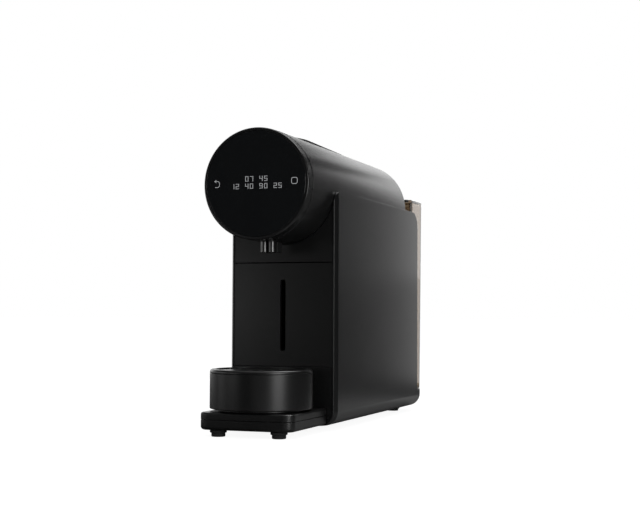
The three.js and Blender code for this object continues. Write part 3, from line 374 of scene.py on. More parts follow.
def rounded(corners, step=8):
    """A closed outline through corners (u, v, radius), each drawn as an arc of its radius."""
    outline = []
    for index, (u, v, *rest) in enumerate(corners):
        here = Vector((u, v))
        radius = rest[0] if rest else 0
        if radius <= 0:
            outline.append((u, v))
            continue
        before = (Vector(corners[index - 1][:2]) - here).normalized()
        after = (Vector(corners[(index + 1) % len(corners)][:2]) - here).normalized()
        half = before.angle(after) / 2
        centre = here + (before + after).normalized() * (radius / math.sin(half))
        start, end = (here + way * (radius / math.tan(half)) - centre for way in (before, after))
        first = math.atan2(start.y, start.x)
        sweep = (math.atan2(end.y, end.x) - first + math.pi) % (2 * math.pi) - math.pi
        count = max(2, round(abs(sweep) / math.radians(step)))
        for turn in range(count + 1):
            angle = first + sweep * turn / count
            outline.append((centre.x + radius * math.cos(angle), centre.y + radius * math.sin(angle)))
    return outline


def rectangle(left, right, bottom, top, radii=0, step=8):
    """A rectangle's outline, with one radius for its corners or four from the lower left one round."""
    low_left, low_right, high_right, high_left = radii if isinstance(radii, tuple) else (radii,) * 4
    return rounded([(left, bottom, low_left), (right, bottom, low_right),
                    (right, top, high_right), (left, top, high_left)], step)


def arc(radius, half_width, steps, order=1, side=1):
    """Points about the head's axis from left to right (order 1) or back, over it (side 1) or under it."""
    reach = math.asin(half_width / radius)
    turns = [order * reach * (2 * step / steps - 1) for step in range(steps + 1)]
    return [(radius * math.sin(turn), axis_z + side * radius * math.cos(turn)) for turn in turns]


def spot(axis, u, v, w):
    """The point (u, v) of an outline at height w along an axis."""
    return {"X": (w, u, v), "Y": (u, w, v), "Z": (u, v, w)}[axis]


def stack(name, axis, sections):
    """Skins outlines with equal counts, each with its height along an axis, into a closed solid."""
    count = len(sections[0][0])
    points = [spot(axis, u, v, w) for outline, w in sections for u, v in outline]
    faces = [tuple(range(count)), tuple(range(len(points) - count, len(points)))]
    for row in range(len(sections) - 1):
        for index in range(count):
            near, far = row * count + index, row * count + (index + 1) % count
            faces.append((near, far, far + count, near + count))
    return clean(new_piece(name, points, faces))


def prism(name, axis, outline, low, high):
    return stack(name, axis, [(outline, low), (outline, high)])


def block(name, x, y, z):
    """A box from three (low, high) pairs."""
    return prism(name, "Z", rectangle(*x, *y), *z)


def slab(name, axis, low_outline, low, high, ease_low=0.0, ease_high=0.0, steps=5, high_outline=None):
    """A solid with rounded end edges: a function gives an end's outline drawn in by a distance."""
    high_outline = high_outline or low_outline
    quarter = [math.pi / 2 * step / steps for step in range(steps + 1)]
    sections = [(low_outline(ease_low * (1 - math.sin(turn))), low + ease_low * (1 - math.cos(turn)))
                for turn in (quarter if ease_low else [math.pi / 2])]
    sections += [(high_outline(ease_high * (1 - math.sin(turn))), high - ease_high * (1 - math.cos(turn)))
                 for turn in (reversed(quarter) if ease_high else [math.pi / 2])]
    return stack(name, axis, sections)


def lathe(name, axis, profile, centre, segments, step=12):
    """Turns corners (radius, height, fillet) about an axis through centre; heights are places on it."""
    points, rows, faces = [], [], []
    for radius, height in rounded(profile, step):
        count = segments if radius > 0 else 1
        rows.append(range(len(points), len(points) + count))
        for index in range(count):
            angle = 2 * math.pi * index / segments
            points.append(spot(axis, centre[0] + radius * math.cos(angle),
                               centre[1] + radius * math.sin(angle), height))
    last = len(rows) if len(rows[0]) > 1 else len(rows) - 1
    for index in range(last):
        here, there = rows[index], rows[(index + 1) % len(rows)]
        for turn in range(segments):
            after = (turn + 1) % segments
            corners = [here[turn % len(here)], here[after % len(here)],
                       there[after % len(there)], there[turn % len(there)]]
            face = list(dict.fromkeys(corners))
            if len(face) > 2:
                faces.append(face)
    return clean(new_piece(name, points, faces))


def cylinder(name, axis, radius, centre, low, high, segments):
    return lathe(name, axis, [(0, low), (radius, low), (radius, high), (0, high)], centre, segments)


def softened(place):
    """A copy of a plain node: flat facets merged, edges eased, round faces shaded round."""
    piece = new_piece(f"{place.node}_fine", [], [])
    piece.data = frame["nodes"][place.node].data.copy()
    piece.data.materials.clear()
    clean(piece, 0.001 * MM, flat=0.5)
    return shade(round_edges(piece, 0.35 * MM, 2, 40), 40)


def stands_for(piece, node):
    """Gives a piece the finish of the slot and the body of the node that it replaces, and hides that node."""
    slot = SLOT_OF[node]
    piece.data.materials.clear()
    piece.data.materials.append(FINISHES[slot])
    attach(piece, frame["nodes"][node]["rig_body"])
    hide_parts(node)


def belongs_to(piece, node, material=None):
    """Lets an added detail ride with a node's body, with a material if its tree gave it none."""
    if material:
        piece.data.materials.append(material)
    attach(piece, frame["nodes"][node]["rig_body"])


# ---- geometry node trees --------------------------------------------------------------------------
def geometry_web(name, sizes):
    """A geometry tree with a mesh input and named size inputs."""
    tree = bpy.data.node_groups.new(name, "GeometryNodeTree")
    tree.interface.new_socket("Geometry", in_out="INPUT", socket_type="NodeSocketGeometry")
    for label, kind in sizes.items():
        tree.interface.new_socket(label, in_out="INPUT", socket_type=f"NodeSocket{kind}")
    tree.interface.new_socket("Geometry", in_out="OUTPUT", socket_type="NodeSocketGeometry")
    web = Web(tree)
    return web, web.add("NodeGroupInput", output="Geometry")


def close_web(web, geometry, material):
    """Ends a tree in real geometry with its material."""
    real = web.add("GeometryNodeRealizeInstances", inputs={"Geometry": geometry})
    dressed = web.add("GeometryNodeSetMaterial", inputs={"Geometry": real, "Material": material})
    web.add("NodeGroupOutput", inputs={"Geometry": dressed})
    return web.tree


def grow(piece, tree, **sizes):
    """Runs a geometry tree on a piece and keeps the mesh that comes out."""
    modifier = piece.modifiers.new(tree.name, "NODES")
    modifier.node_group = tree
    for item in tree.interface.items_tree:
        label = item.name.lower().replace(" ", "_")
        if item.in_out == "INPUT" and label in sizes:
            modifier[item.identifier] = sizes[label]
    return settle(piece)


def drain_tree(rings):
    """Drills a centre hole and rings of six, twelve and so on, each with a countersunk mouth."""
    web, lid = geometry_web("drain_holes", {
        "Centre": "Vector", "Pitch": "Float", "Hole Radius": "Float", "Mouth Depth": "Float",
        "Drill Length": "Float"})
    pitch, radius = lid.out("Pitch"), lid.out("Hole Radius")
    mouth, length = lid.out("Mouth Depth"), lid.out("Drill Length")
    marks = [web.add("GeometryNodeMeshLine", inputs={"Count": 1})]
    for ring in range(1, rings + 1):
        marks.append(web.add("GeometryNodeMeshCircle", inputs={"Vertices": 6 * ring, "Radius": pitch * ring}))
    spots = web.join(*marks)
    drill = web.add("GeometryNodeMeshCylinder", inputs={"Vertices": 32, "Radius": radius, "Depth": length})
    cone = web.add("GeometryNodeMeshCone", inputs={
        "Vertices": 32, "Radius Top": radius + 2.0 * mouth, "Radius Bottom": radius, "Depth": 2.0 * mouth})
    sunk = web.add("ShaderNodeCombineXYZ", inputs={"Z": -1.0 * mouth})
    lowered = web.add("GeometryNodeTransform", inputs={"Geometry": cone, "Translation": sunk})
    drilled = lid
    for tool in (drill, lowered):
        copies = web.add("GeometryNodeInstanceOnPoints", inputs={"Points": spots, "Instance": tool})
        placed = web.add("GeometryNodeTransform", inputs={
            "Geometry": copies, "Translation": lid.out("Centre")})
        solid = web.add("GeometryNodeRealizeInstances", inputs={"Geometry": placed})
        drilled = web.add("GeometryNodeMeshBoolean", {"operation": "DIFFERENCE", "solver": "EXACT"},
                          {"Mesh 1": drilled, "Mesh 2": solid})
    return close_web(web, drilled, FINISHES["satin_black"])


def tile_tree(material):
    """Puts a small flat tile on every vertex."""
    web, marks = geometry_web("display_tiles", {"Tile Size": "Float", "Tile Depth": "Float"})
    size, depth = marks.out("Tile Size"), marks.out("Tile Depth")
    shape = web.add("ShaderNodeCombineXYZ", inputs={"X": size, "Y": depth, "Z": size})
    tile = web.add("GeometryNodeMeshCube", inputs={"Size": shape})
    tiles = web.add("GeometryNodeInstanceOnPoints", inputs={"Points": marks, "Instance": tile})
    return close_web(web, tiles, material)


def thread_tree(material):
    """Winds a rounded ridge round a screw's core."""
    web, core = geometry_web("screw_thread", {
        "Turns": "Float", "Radius": "Float", "Ridge": "Float", "Length": "Float", "Start": "Vector"})
    radius = core.out("Radius")
    coil = web.add("GeometryNodeCurveSpiral", inputs={
        "Resolution": 48, "Rotations": core.out("Turns"), "Start Radius": radius, "End Radius": radius,
        "Height": core.out("Length")})
    laid = web.add("GeometryNodeTransform", inputs={
        "Geometry": coil, "Translation": core.out("Start"), "Rotation": (-math.pi / 2, 0, 0)})
    section = web.add("GeometryNodeCurvePrimitiveCircle", output="Curve",
                      inputs={"Resolution": 8, "Radius": core.out("Ridge")})
    ridge = web.add("GeometryNodeCurveToMesh", inputs={
        "Curve": laid, "Profile Curve": section, "Fill Caps": True})
    smooth = web.add("GeometryNodeSetShadeSmooth", inputs={"Geometry": web.join(ridge, core)})
    return close_web(web, smooth, material)


def screw_tree(screw, material):
    """Sets a screw head on every vertex, each turned by its own angle, facing as the vertex faces."""
    web, marks = geometry_web("screw_heads", {"Seed": "Int"})
    turn = web.add("FunctionNodeRandomValue", {"data_type": "FLOAT"},
                   {"Min": 0.0, "Max": math.pi, "Seed": marks.out("Seed")}, output=1)
    spin = web.add("ShaderNodeCombineXYZ", inputs={"Z": turn})
    facing = web.add("GeometryNodeInputNormal")
    aim = web.add("FunctionNodeAlignEulerToVector", {"axis": "Z"}, {"Vector": facing})
    shape = web.add("GeometryNodeObjectInfo", inputs={"Object": screw}, output="Geometry")
    copies = web.add("GeometryNodeInstanceOnPoints", inputs={
        "Points": marks, "Instance": shape, "Rotation": aim})
    turned = web.add("GeometryNodeRotateInstances", inputs={"Instances": copies, "Rotation": spin})
    return close_web(web, turned, material)


# ---- sizes of the fine surfaces -------------------------------------------------------------------
PAST = 1 * MM                     # cutters reach this far past what they cut
LEAST_ROUND = 0.05 * MM           # a round corner that is drawn in keeps at least this radius
SHELL_WALL = 2.4 * MM
SHELL_LAP = 16.5 * MM             # the shell's sides reach past the tank's front by this much
SHELL_EDGE = 14 * MM              # the round of its lower edges
SHELL_LINE = 0.4 * MM             # the round of its outer edges
RIM_WIDTH, RIM_DEPTH = 4 * MM, 3 * MM
CHAMFER_IN, CHAMFER_BACK = 2.8 * MM, 4.6 * MM     # the slanting turn from its sides to its front rim
CHAMFER_ROUNDS = (0.7 * MM, 4 * MM)               # where that turn meets the rim and the sides
TOP_FRONT_ROUND, TOP_REAR_ROUND, TAIL_ROUND = 11 * MM, 18 * MM, 2 * MM
VENT_COUNT, VENT_PITCH, VENT_HALF, VENT_LENGTH = 7, 9 * MM, 1.6 * MM, 46 * MM
VENT_ROUND = VENT_HALF * 0.96     # the ends of slots stop a little short of a half circle
VENT_START = 12 * MM              # from the pump's front to the vents
PANEL_SEAM = 0.3 * MM             # each panel stops this much short at the seam above the bin
PANEL_EASE = 0.45 * MM
SLOT_HALF = 2.8 * MM
SLOT_ROUND = SLOT_HALF * 0.998
SLOT_BELOW, SLOT_ABOVE = 14.5 * MM, 16 * MM       # from the bin front's lower and upper edges to the slot
BIN_WALL, BIN_ROUND = 1.8 * MM, 7 * MM
BASE_ROUND, BASE_REAR_ROUND = 10 * MM, 3 * MM
BASE_EASE, BASE_FOOT_EASE, BASE_LINE = 1.8 * MM, 3 * MM, 0.35 * MM
TONGUE_INSET = 6 * MM
TONGUE_ROOT = 3 * MM              # the tongue starts this far inside the base
FLANGE_LIP, FLANGE_HEIGHT = 1.3 * MM, 2.6 * MM    # the wider upper end of each foot
CUP_WALL = 2.4 * MM
CUP_FOOT_RADIUS, CUP_FOOT_HEIGHT = 40 * MM, 1.9 * MM
DISH_RADIUS, DISH_MOUTH, DISH_DEPTH = 41 * MM, 42.2 * MM, 1.4 * MM
SKIRT_WALL = 1.6 * MM
HOLE_RINGS, HOLE_PITCH, HOLE_RADIUS = 2, 12 * MM, 1.9 * MM
HOLE_MOUTH, DRILL_LENGTH = 0.35 * MM, 8 * MM
HEAD_WALL, HEAD_EDGE = 2.4 * MM, 5 * MM
LID_INSET = 3 * MM                # the sliding lid starts this far ahead of its opening
TRACK_INSET = 8 * MM              # its track ends this far behind the opening
OPENING_HALF = 19 * MM
OPENING_ROUND = OPENING_HALF * 0.999
RAIL_WIDTH, RAIL_RISE, RAIL_PEAK, RAIL_ROOT = 1.6 * MM, 1.8 * MM, 40 * MM, 1 * MM
RAIL_FADE, RAIL_SWELL = 0.8, 1.3  # the share of its rise lost at the rear, and the power that bows its front
CHUTE_HALF, CHUTE_START, CHUTE_END = 20.6 * MM, 2 * MM, 41 * MM   # capsules fall here, behind the brew plate
WIRE_HALF, WIRE_START, WIRE_END = 12 * MM, 3 * MM, 48 * MM        # wires pass here, from the motor's front
DIAL_BEVEL, DIAL_LIP, DIAL_REBATE = 1.5 * MM, 1.7 * MM, 0.5 * MM
MARK_RISE = 0.02 * MM             # the display's marks are set this far ahead of the glass
TILE_ACROSS, TILE_UP, TILE_SIZE, TILE_DEPTH = 0.86 * MM, 0.70 * MM, 0.56 * MM, 0.03 * MM
DIGIT_STEP, ROW_SHIFT = 4.7 * MM, 1.2 * MM
DISPLAY_ROWS = (("07 45", 2.4 * MM), ("12 40 90 25", -4.4 * MM))  # each row's text and height over the axis
SIGN_HALF, SIGN_WIDTH, SIGN_DEPTH = 2.8 * MM, 0.44 * MM, 0.05 * MM
LEAF = 2 * MM                     # the sliding lid's wall
RIB_PLACES, RIB_WIDTH = (20 * MM, 14 * MM), 3 * MM                # from the lid's rear
RIB_DROP, RIB_ROOT, RIB_INSET = 0.6 * MM, 1.5 * MM, 4 * MM
NOZZLE_BORE = 2.1 * MM
TANK_WALL, TANK_ROUND, TANK_TAPER, TANK_FOOT_EASE = 2.2 * MM, 1.6 * MM, 7 * MM, 0.5 * MM
TANK_LEAST_ROUND = 0.4 * MM
VALVE_HOLE = 4 * MM
PLUG_PLAY, PLUG_WALL, PLUG_LAP = 0.2 * MM, 1.6 * MM, 0.5 * MM
GRIP_ROUND = 2.2 * MM
GLAND_BORE, GLAND_DEPTH = 3.4 * MM, 6 * MM
SCREW_RADIUS, THREAD_RIDGE, THREAD_PITCH = 5 * MM, 0.45 * MM, 5 * MM
THREAD_INSET = 2 * MM             # the plain stretch at each end of the thread
PAN_RADIUS, PAN_HEIGHT, SHANK_RADIUS, SHANK_LENGTH = 2.6 * MM, 1.4 * MM, 1.3 * MM, 1 * MM
CROSS_REACH, CROSS_HALF, CROSS_FLOOR, CROSS_TOP = 1.5 * MM, 0.3 * MM, 0.7 * MM, 2 * MM
SCREW_MARK = 0.02 * MM            # each place has a head at all three corners of a triangle this small


# ---- body: shell, panels and base -----------------------------------------------------------------
def shell_room(name, inset, front, rear, top, chamfer=(0, PAST)):
    """The space inside the shell, drawn in by a distance: its floor, sides and tail meet in round corners.

    Without a chamfer its front corners are plain."""
    radius = SHELL_EDGE - inset
    across, back = chamfer
    crisp, soft = CHAMFER_ROUNDS if across else (0, 0)

    def plan(drawn):
        corner = max(radius - drawn, LEAST_ROUND)
        side = shell.half_width - inset - drawn
        half = [(side - across, front, crisp), (side, front + back, soft), (side, rear - drawn, corner)]
        return rounded([*half, *((-x, y, bend) for x, y, bend in reversed(half))], 6)
    return slab(name, "Z", plan, shell.bottom + inset, top, ease_low=radius, steps=14)


def vent_tools():
    """Cutters for the air slots in the floor under the pump."""
    front = Extent("pump").front + VENT_START
    first = -(VENT_COUNT - 1) * VENT_PITCH / 2
    for index in range(VENT_COUNT):
        x = first + index * VENT_PITCH
        slot = rectangle(x - VENT_HALF, x + VENT_HALF, front, front + VENT_LENGTH, VENT_ROUND, 20)
        yield prism("vent", "Z", slot, shell.bottom - PAST, shell.bottom + 2 * SHELL_WALL)


def shell_skin(place):
    """The folded skin of the body: two sides and a floor that runs on under the tank as a tail."""
    tail_top = tank.bottom - SEAT
    body_rear = tank.front + SHELL_LAP
    rim_rear = place.front + RIM_DEPTH
    door = SHELL_EDGE - RIM_WIDTH
    bush = Extent("cord_gland")

    def side(drawn):
        return rounded([
            (place.front + drawn, place.bottom - PAST), (place.rear + PAST, place.bottom - PAST),
            (place.rear + PAST, tail_top - drawn), (body_rear - drawn, tail_top - drawn, TAIL_ROUND + drawn),
            (body_rear - drawn, place.top - drawn, TOP_REAR_ROUND - drawn),
            (place.front + drawn, place.top - drawn, TOP_FRONT_ROUND - drawn)], 5)
    skin = slab("shell_skin", "X", side, place.left, place.right, SHELL_LINE, SHELL_LINE)
    carve(skin, shell_room("outside", 0, place.front, place.rear, head.top, (CHAMFER_IN, CHAMFER_BACK)),
          keep="INTERSECT")
    doorway = rectangle(place.left + RIM_WIDTH, place.right - RIM_WIDTH, place.bottom + RIM_WIDTH, head.top,
                        (door, door, 0, 0), 5)
    carve(skin,
          shell_room("inside", SHELL_WALL, rim_rear, place.rear - SHELL_WALL, head.top),
          prism("doorway", "Y", doorway, place.front - PAST, rim_rear + PAST),
          cylinder("head_room", "Y", head_radius + RUN_GAP, (0, axis_z), dial.front,
                   head.rear + RUN_GAP, 192),
          cylinder("gland_room", "Y", bush.half_width + SEAT, (bush.x, bush.z), bush.front,
                   place.rear + PAST, 48),
          *vent_tools())
    return ease(skin, 0.5 * MM, 3, 40)


def front_panel(name, place, outline, *tools):
    """One flat panel of the front, with its edges eased."""
    panel = prism(name, "Y", outline, place.front, place.rear)
    if tools:
        carve(panel, *tools)
    return ease(panel, PANEL_EASE, 3)


def upper_panel(place):
    low = place.bottom + PANEL_SEAM
    under_head = arc(head_radius + SEAT, place.half_width, 72, order=-1, side=-1)
    return front_panel("upper_panel", place, [(place.left, low), (place.right, low), *under_head])


def lower_panel(place):
    radius = SHELL_EDGE - RIM_WIDTH - SEAT
    tongue = Extent("base_tray").half_width - TONGUE_INSET + SEAT
    outline = rectangle(place.left, place.right, place.bottom, place.top, (radius, radius, 0, 0), 5)
    return front_panel("lower_panel", place, outline, block(
        "tongue_room", (-tongue, tongue), (place.front - PAST, place.rear + PAST),
        (0, Extent("base_plate").bottom - SEAT)))


def bin_slot(low, high):
    """A cutter for the upright slot in the bin's front."""
    place = Extent("bin_front")
    slot = rectangle(-SLOT_HALF, SLOT_HALF, place.bottom + SLOT_BELOW, place.top - SLOT_ABOVE, SLOT_ROUND, 10)
    return prism("slot", "Y", slot, low - PAST, high + PAST)


def bin_panel(place):
    outline = rectangle(place.left, place.right, place.bottom, place.top - PANEL_SEAM)
    return front_panel("bin_panel", place, outline, bin_slot(place.front, place.rear))


def bin_tub(place):
    """The capsule bin: thin walls with eased lips and rounded corners, open behind the slot in its front."""
    def plan(inset):
        return rectangle(place.left + inset, place.right - inset, place.front + inset, place.rear - inset,
                         BIN_ROUND - inset, 10)

    def room(inset):
        return plan(BIN_WALL + inset)
    tub = slab("bin_tub", "Z", plan, place.bottom, place.top, ease_low=1.2 * MM)
    carve(tub, slab("bin_room", "Z", room, place.bottom + BIN_WALL, place.top + PAST, ease_low=1.0 * MM),
          bin_slot(place.front, place.front + BIN_WALL))
    return ease(tub, 0.4 * MM, 2)


def base_outline(inset):
    plate = Extent("base_plate")
    front, rear = BASE_ROUND - inset, max(BASE_REAR_ROUND - inset, LEAST_ROUND)
    return rectangle(plate.left + inset, plate.right - inset, plate.front + inset, plate.rear - inset,
                     (front, front, rear, rear), 6)


def base_cover(place):
    return shade(slab("base_cover", "Z", base_outline, place.bottom, place.top, BASE_LINE, BASE_EASE))


def base_foot(place):
    """The low tray under the cup, with a tongue that runs into the body."""
    plate = Extent("base_plate")
    lower = slab("base_foot", "Z", base_outline, place.bottom, plate.bottom - SEAT, BASE_FOOT_EASE, BASE_LINE)
    half = place.half_width - TONGUE_INSET
    tongue = block("tongue", (-half, half), (plate.rear - TONGUE_ROOT, place.rear),
                   (shell.bottom + RIM_WIDTH + SEAT, plate.bottom - 2 * SEAT))
    return shade(carve(lower, tongue, keep="UNION"))


def foot(place):
    flange = place.half_width
    stem = flange - FLANGE_LIP
    neck = place.top - FLANGE_HEIGHT
    return shade(lathe(f"{place.node}_pad", "Z", [
        (0, place.bottom), (stem, place.bottom, 0.8 * MM), (stem, neck, 0.2 * MM),
        (flange, neck + 0.4 * MM, 0.4 * MM), (flange, place.top, 0.3 * MM), (0, place.top)],
        (place.x, place.y), 48), 35)


# ---- drip cup -------------------------------------------------------------------------------------
def cup(place):
    ledge = place.bottom + CUP_FOOT_HEIGHT
    radius, inner = place.half_width, place.half_width - CUP_WALL
    return shade(lathe("cup", "Z", [
        (0, place.bottom), (CUP_FOOT_RADIUS, place.bottom, 0.5 * MM), (CUP_FOOT_RADIUS, ledge, 0.3 * MM),
        (radius, ledge, 1.0 * MM), (radius, place.top, 0.4 * MM), (inner, place.top, 0.4 * MM),
        (inner, ledge + CUP_WALL, 2 * MM), (0, ledge + CUP_WALL)], (place.x, place.y), 160))


def cup_cover(place):
    """The drip lid: a rolled rim round a shallow dish with countersunk holes."""
    under = Extent("drip_cup").top + SEAT
    radius = place.half_width
    skirt = radius - CUP_WALL - SEAT
    dish = place.top - DISH_DEPTH
    cover = lathe("cup_cover", "Z", [
        (0, under), (skirt - SKIRT_WALL, under), (skirt - SKIRT_WALL, place.bottom, 0.3 * MM),
        (skirt, place.bottom, 0.3 * MM), (skirt, under), (radius, under, 0.4 * MM),
        (radius, place.top, 2.4 * MM), (DISH_MOUTH, place.top, 0.6 * MM), (DISH_RADIUS, dish, 0.6 * MM),
        (0, dish)], (place.x, place.y), 160)
    grow(cover, drain_tree(HOLE_RINGS), centre=(place.x, place.y, dish), pitch=HOLE_PITCH,
         hole_radius=HOLE_RADIUS, mouth_depth=HOLE_MOUTH, drill_length=DRILL_LENGTH)
    return shade(clean(cover))


# ---- head: tube, dial, display and lid ------------------------------------------------------------
def opening_rails(front, rear):
    """Low dark rails beside the capsule opening: they rise to a peak near its front and fade to its rear."""
    outer, steps = OPENING_HALF + RAIL_WIDTH, 16
    skin = axis_z + math.sqrt(head_radius ** 2 - outer ** 2)
    peak = front + RAIL_PEAK
    outline = [(front, skin - RAIL_ROOT), (rear, skin - RAIL_ROOT)]
    for step in range(steps + 1):
        share = 1 - step / steps
        outline.append((peak + (rear - peak) * share, skin + RAIL_RISE * (1 - RAIL_FADE * share)))
    for step in range(1, steps + 1):
        share = 1 - step / steps
        rise = RAIL_RISE * math.sin(math.pi / 2 * share) ** RAIL_SWELL
        outline.append((front + RAIL_PEAK * share, skin + rise))
    for name, low, high in (("rail_left", -outer, -OPENING_HALF), ("rail_right", OPENING_HALF, outer)):
        rail = ease(prism(name, "X", outline, low, high), 0.3 * MM, 2)
        belongs_to(rail, "head_tube", FINISHES["inner_black"])


def head_skin(place):
    """The round head: a tube closed at its rear, with the long capsule opening on top and its rails."""
    plate, motor = Extent("brew_plate"), Extent("drive_motor")
    bore = head_radius - HEAD_WALL
    under = (place.bottom - PAST, axis_z - head_radius / 2)
    tube = lathe("head_skin", "Y", [
        (0, place.rear), (head_radius, place.rear, HEAD_EDGE), (head_radius, place.front, 0.5 * MM),
        (bore, place.front), (bore, place.rear - HEAD_WALL, HEAD_EDGE - HEAD_WALL),
        (0, place.rear - HEAD_WALL)], (0, axis_z), 192, 9)
    front, rear = Extent("capsule_lid").front + LID_INSET, Extent("lid_track").rear - TRACK_INSET
    opening_rails(front, rear)
    opening = rectangle(-OPENING_HALF, OPENING_HALF, front, rear, OPENING_ROUND, 6)
    tools = [
        prism("opening", "Z", opening, axis_z + bore / 2, place.top + PAST),
        block("chute", (-CHUTE_HALF, CHUTE_HALF), (plate.rear + CHUTE_START, plate.rear + CHUTE_END), under),
        block("wire_way", (-WIRE_HALF, WIRE_HALF), (motor.front + WIRE_START, motor.front + WIRE_END), under)]
    for spout in map(Extent, NOZZLES):
        tools.append(cylinder("nozzle_room", "Z", spout.half_width + SEAT, (spout.x, spout.y), *under, 32))
    return ease(carve(tube, *tools), 0.5 * MM, 3, 40)


def dial_band(place):
    """The turning dial: a band with a bevelled front edge round the glass."""
    inner, lip = glass.half_width + SEAT, glass.half_width - DIAL_LIP
    rebate = glass.rear + DIAL_REBATE
    radius = place.half_width
    return shade(lathe("dial_band", "Y", [
        (inner, place.front, 0.25 * MM), (radius, place.front, DIAL_BEVEL), (radius, place.rear, 0.35 * MM),
        (lip, place.rear), (lip, rebate), (inner, rebate)], (0, axis_z), 192, 9))


def window(place):
    radius = place.half_width
    return shade(lathe("window", "Y", [
        (0, place.front), (radius, place.front, 0.5 * MM), (radius, place.rear, 0.1 * MM),
        (0, place.rear)], (0, axis_z), 192))


SEGMENTS = {"0": "abcdef", "1": "bc", "2": "abdeg", "3": "abcdg", "4": "bcfg",
            "5": "acdfg", "6": "acdefg", "7": "abc", "8": "abcdefg", "9": "abcdfg"}
TILES = {"a": [(column, 6) for column in range(4)], "g": [(column, 3) for column in range(4)],
         "d": [(column, 0) for column in range(4)], "f": [(0, row) for row in range(3, 7)],
         "b": [(3, row) for row in range(3, 7)], "e": [(0, row) for row in range(4)],
         "c": [(3, row) for row in range(4)]}


def display_rows():
    """Two rows of plain numbers, drawn in small lit tiles on the window."""
    marks = []
    for text, height in DISPLAY_ROWS:
        start = ROW_SHIFT - (len(text) * DIGIT_STEP - TILE_ACROSS) / 2
        for place, digit in enumerate(text):
            lit = {tile for segment in SEGMENTS.get(digit, "") for tile in TILES[segment]}
            marks += [(start + place * DIGIT_STEP + column * TILE_ACROSS, glass.front - MARK_RISE,
                       axis_z + height + row * TILE_UP) for column, row in sorted(lit)]
    rows = new_piece("display_rows", marks, [])
    grow(rows, tile_tree(GLOW), tile_size=TILE_SIZE, tile_depth=TILE_DEPTH)
    belongs_to(rows, "display_glass")


def stroke(name, path, closed):
    """A thin flat line that follows a path on the window."""
    count = len(path)
    sides = []
    for index, (u, v) in enumerate(path):
        before = path[index - 1] if closed or index else path[index]
        after = path[(index + 1) % count] if closed or index + 1 < count else path[index]
        way = (Vector(after) - Vector(before)).normalized() * SIGN_WIDTH / 2
        sides.append(((u - way.y, v + way.x), (u + way.y, v - way.x)))
    front = glass.front - MARK_RISE
    points = [spot("Y", u, v, depth) for pair in sides for depth in (front, front + SIGN_DEPTH)
              for u, v in pair]
    faces = []
    for index in range(count if closed else count - 1):
        here, there = 4 * index, 4 * ((index + 1) % count)
        faces += [(here + a, here + b, there + b, there + a) for a, b in ((0, 1), (1, 3), (3, 2), (2, 0))]
    if not closed:
        faces += [(0, 1, 3, 2), tuple(4 * (count - 1) + corner for corner in (0, 1, 3, 2))]
    return clean(new_piece(name, points, faces), 0.0005 * MM)


def display_signs():
    """A hooked arrow at the left of the display and a rounded square at the right."""
    half = SIGN_HALF
    x, z = -38.5 * MM, axis_z + 0.2 * MM
    hook = rounded([(x - half, z + half), (x + half * 0.8, z + half, 2 * MM),
                    (x + half * 0.8, z - half, 2 * MM), (x - half * 0.8, z - half)], 15)
    tip = [(x - half * 0.35, z + half * 1.45), (x - half, z + half), (x - half * 0.35, z + half * 0.55)]
    x, z = 38 * MM, axis_z + 1.6 * MM
    square = rectangle(x - half, x + half, z - half, z + half, 1.6 * MM, 15)
    for name, path, closed in (("sign_back", hook, False), ("sign_back_tip", tip, False),
                               ("sign_stop", square, True)):
        belongs_to(stroke(name, path, closed), "display_glass", GLOW)


def sector(outer, inner, half_width):
    """The outline of a curved strip round the head's axis."""
    return arc(outer, half_width, 28) + arc(inner, half_width, 28, order=-1)


def sliding_lid(place):
    """The capsule lid: a curved leaf under the skin with two finger ribs."""
    bore = head_radius - HEAD_WALL - SEAT
    leaf = prism("sliding_lid", "Y", sector(bore, bore - LEAF, place.half_width), place.front, place.rear)
    rib = sector(head_radius - RIB_DROP, bore - RIB_ROOT, OPENING_HALF - RIB_INSET)
    ribs = [prism("rib", "Y", rib, place.rear - back, place.rear - back + RIB_WIDTH) for back in RIB_PLACES]
    return ease(carve(leaf, *ribs, keep="UNION"), 0.5 * MM, 3, 40)


# ---- spout ----------------------------------------------------------------------------------------
def nozzle(place):
    return shade(lathe(f"{place.node}_tube", "Z", [
        (NOZZLE_BORE, place.bottom, 0.2 * MM), (place.half_width, place.bottom, 0.4 * MM),
        (place.half_width, place.top), (NOZZLE_BORE, place.top)], (place.x, place.y), 64))


# ---- water tank -----------------------------------------------------------------------------------
def tank_plan(inset, rear=tank.rear):
    return rectangle(tank.left + inset, tank.right - inset, tank.front + inset, rear - inset,
                     max(TANK_ROUND - inset, TANK_LEAST_ROUND), 9)


def tank_solid(name, inset, low, high):
    """A filled tank, drawn in by a distance: its rear leans in towards a rounded foot."""
    def at_foot(drawn):
        return tank_plan(inset + drawn, tank.rear - TANK_TAPER)

    def at_mouth(drawn):
        return tank_plan(inset + drawn)
    return slab(name, "Z", at_foot, low, high, TANK_FOOT_EASE, steps=4, high_outline=at_mouth)


def tank_walls(place):
    """The tank's thin walls, with a hole for the valve in its floor."""
    walls = tank_solid("tank_walls", 0, place.bottom, place.top)
    valve = Extent("tank_valve")
    carve(walls, tank_solid("water", TANK_WALL, place.bottom + TANK_WALL, place.top + PAST),
          cylinder("valve_hole", "Z", VALVE_HOLE, (valve.x, valve.y), place.bottom - PAST,
                   place.bottom + 2 * TANK_WALL, 48))
    return ease(walls, 0.4 * MM, 2)


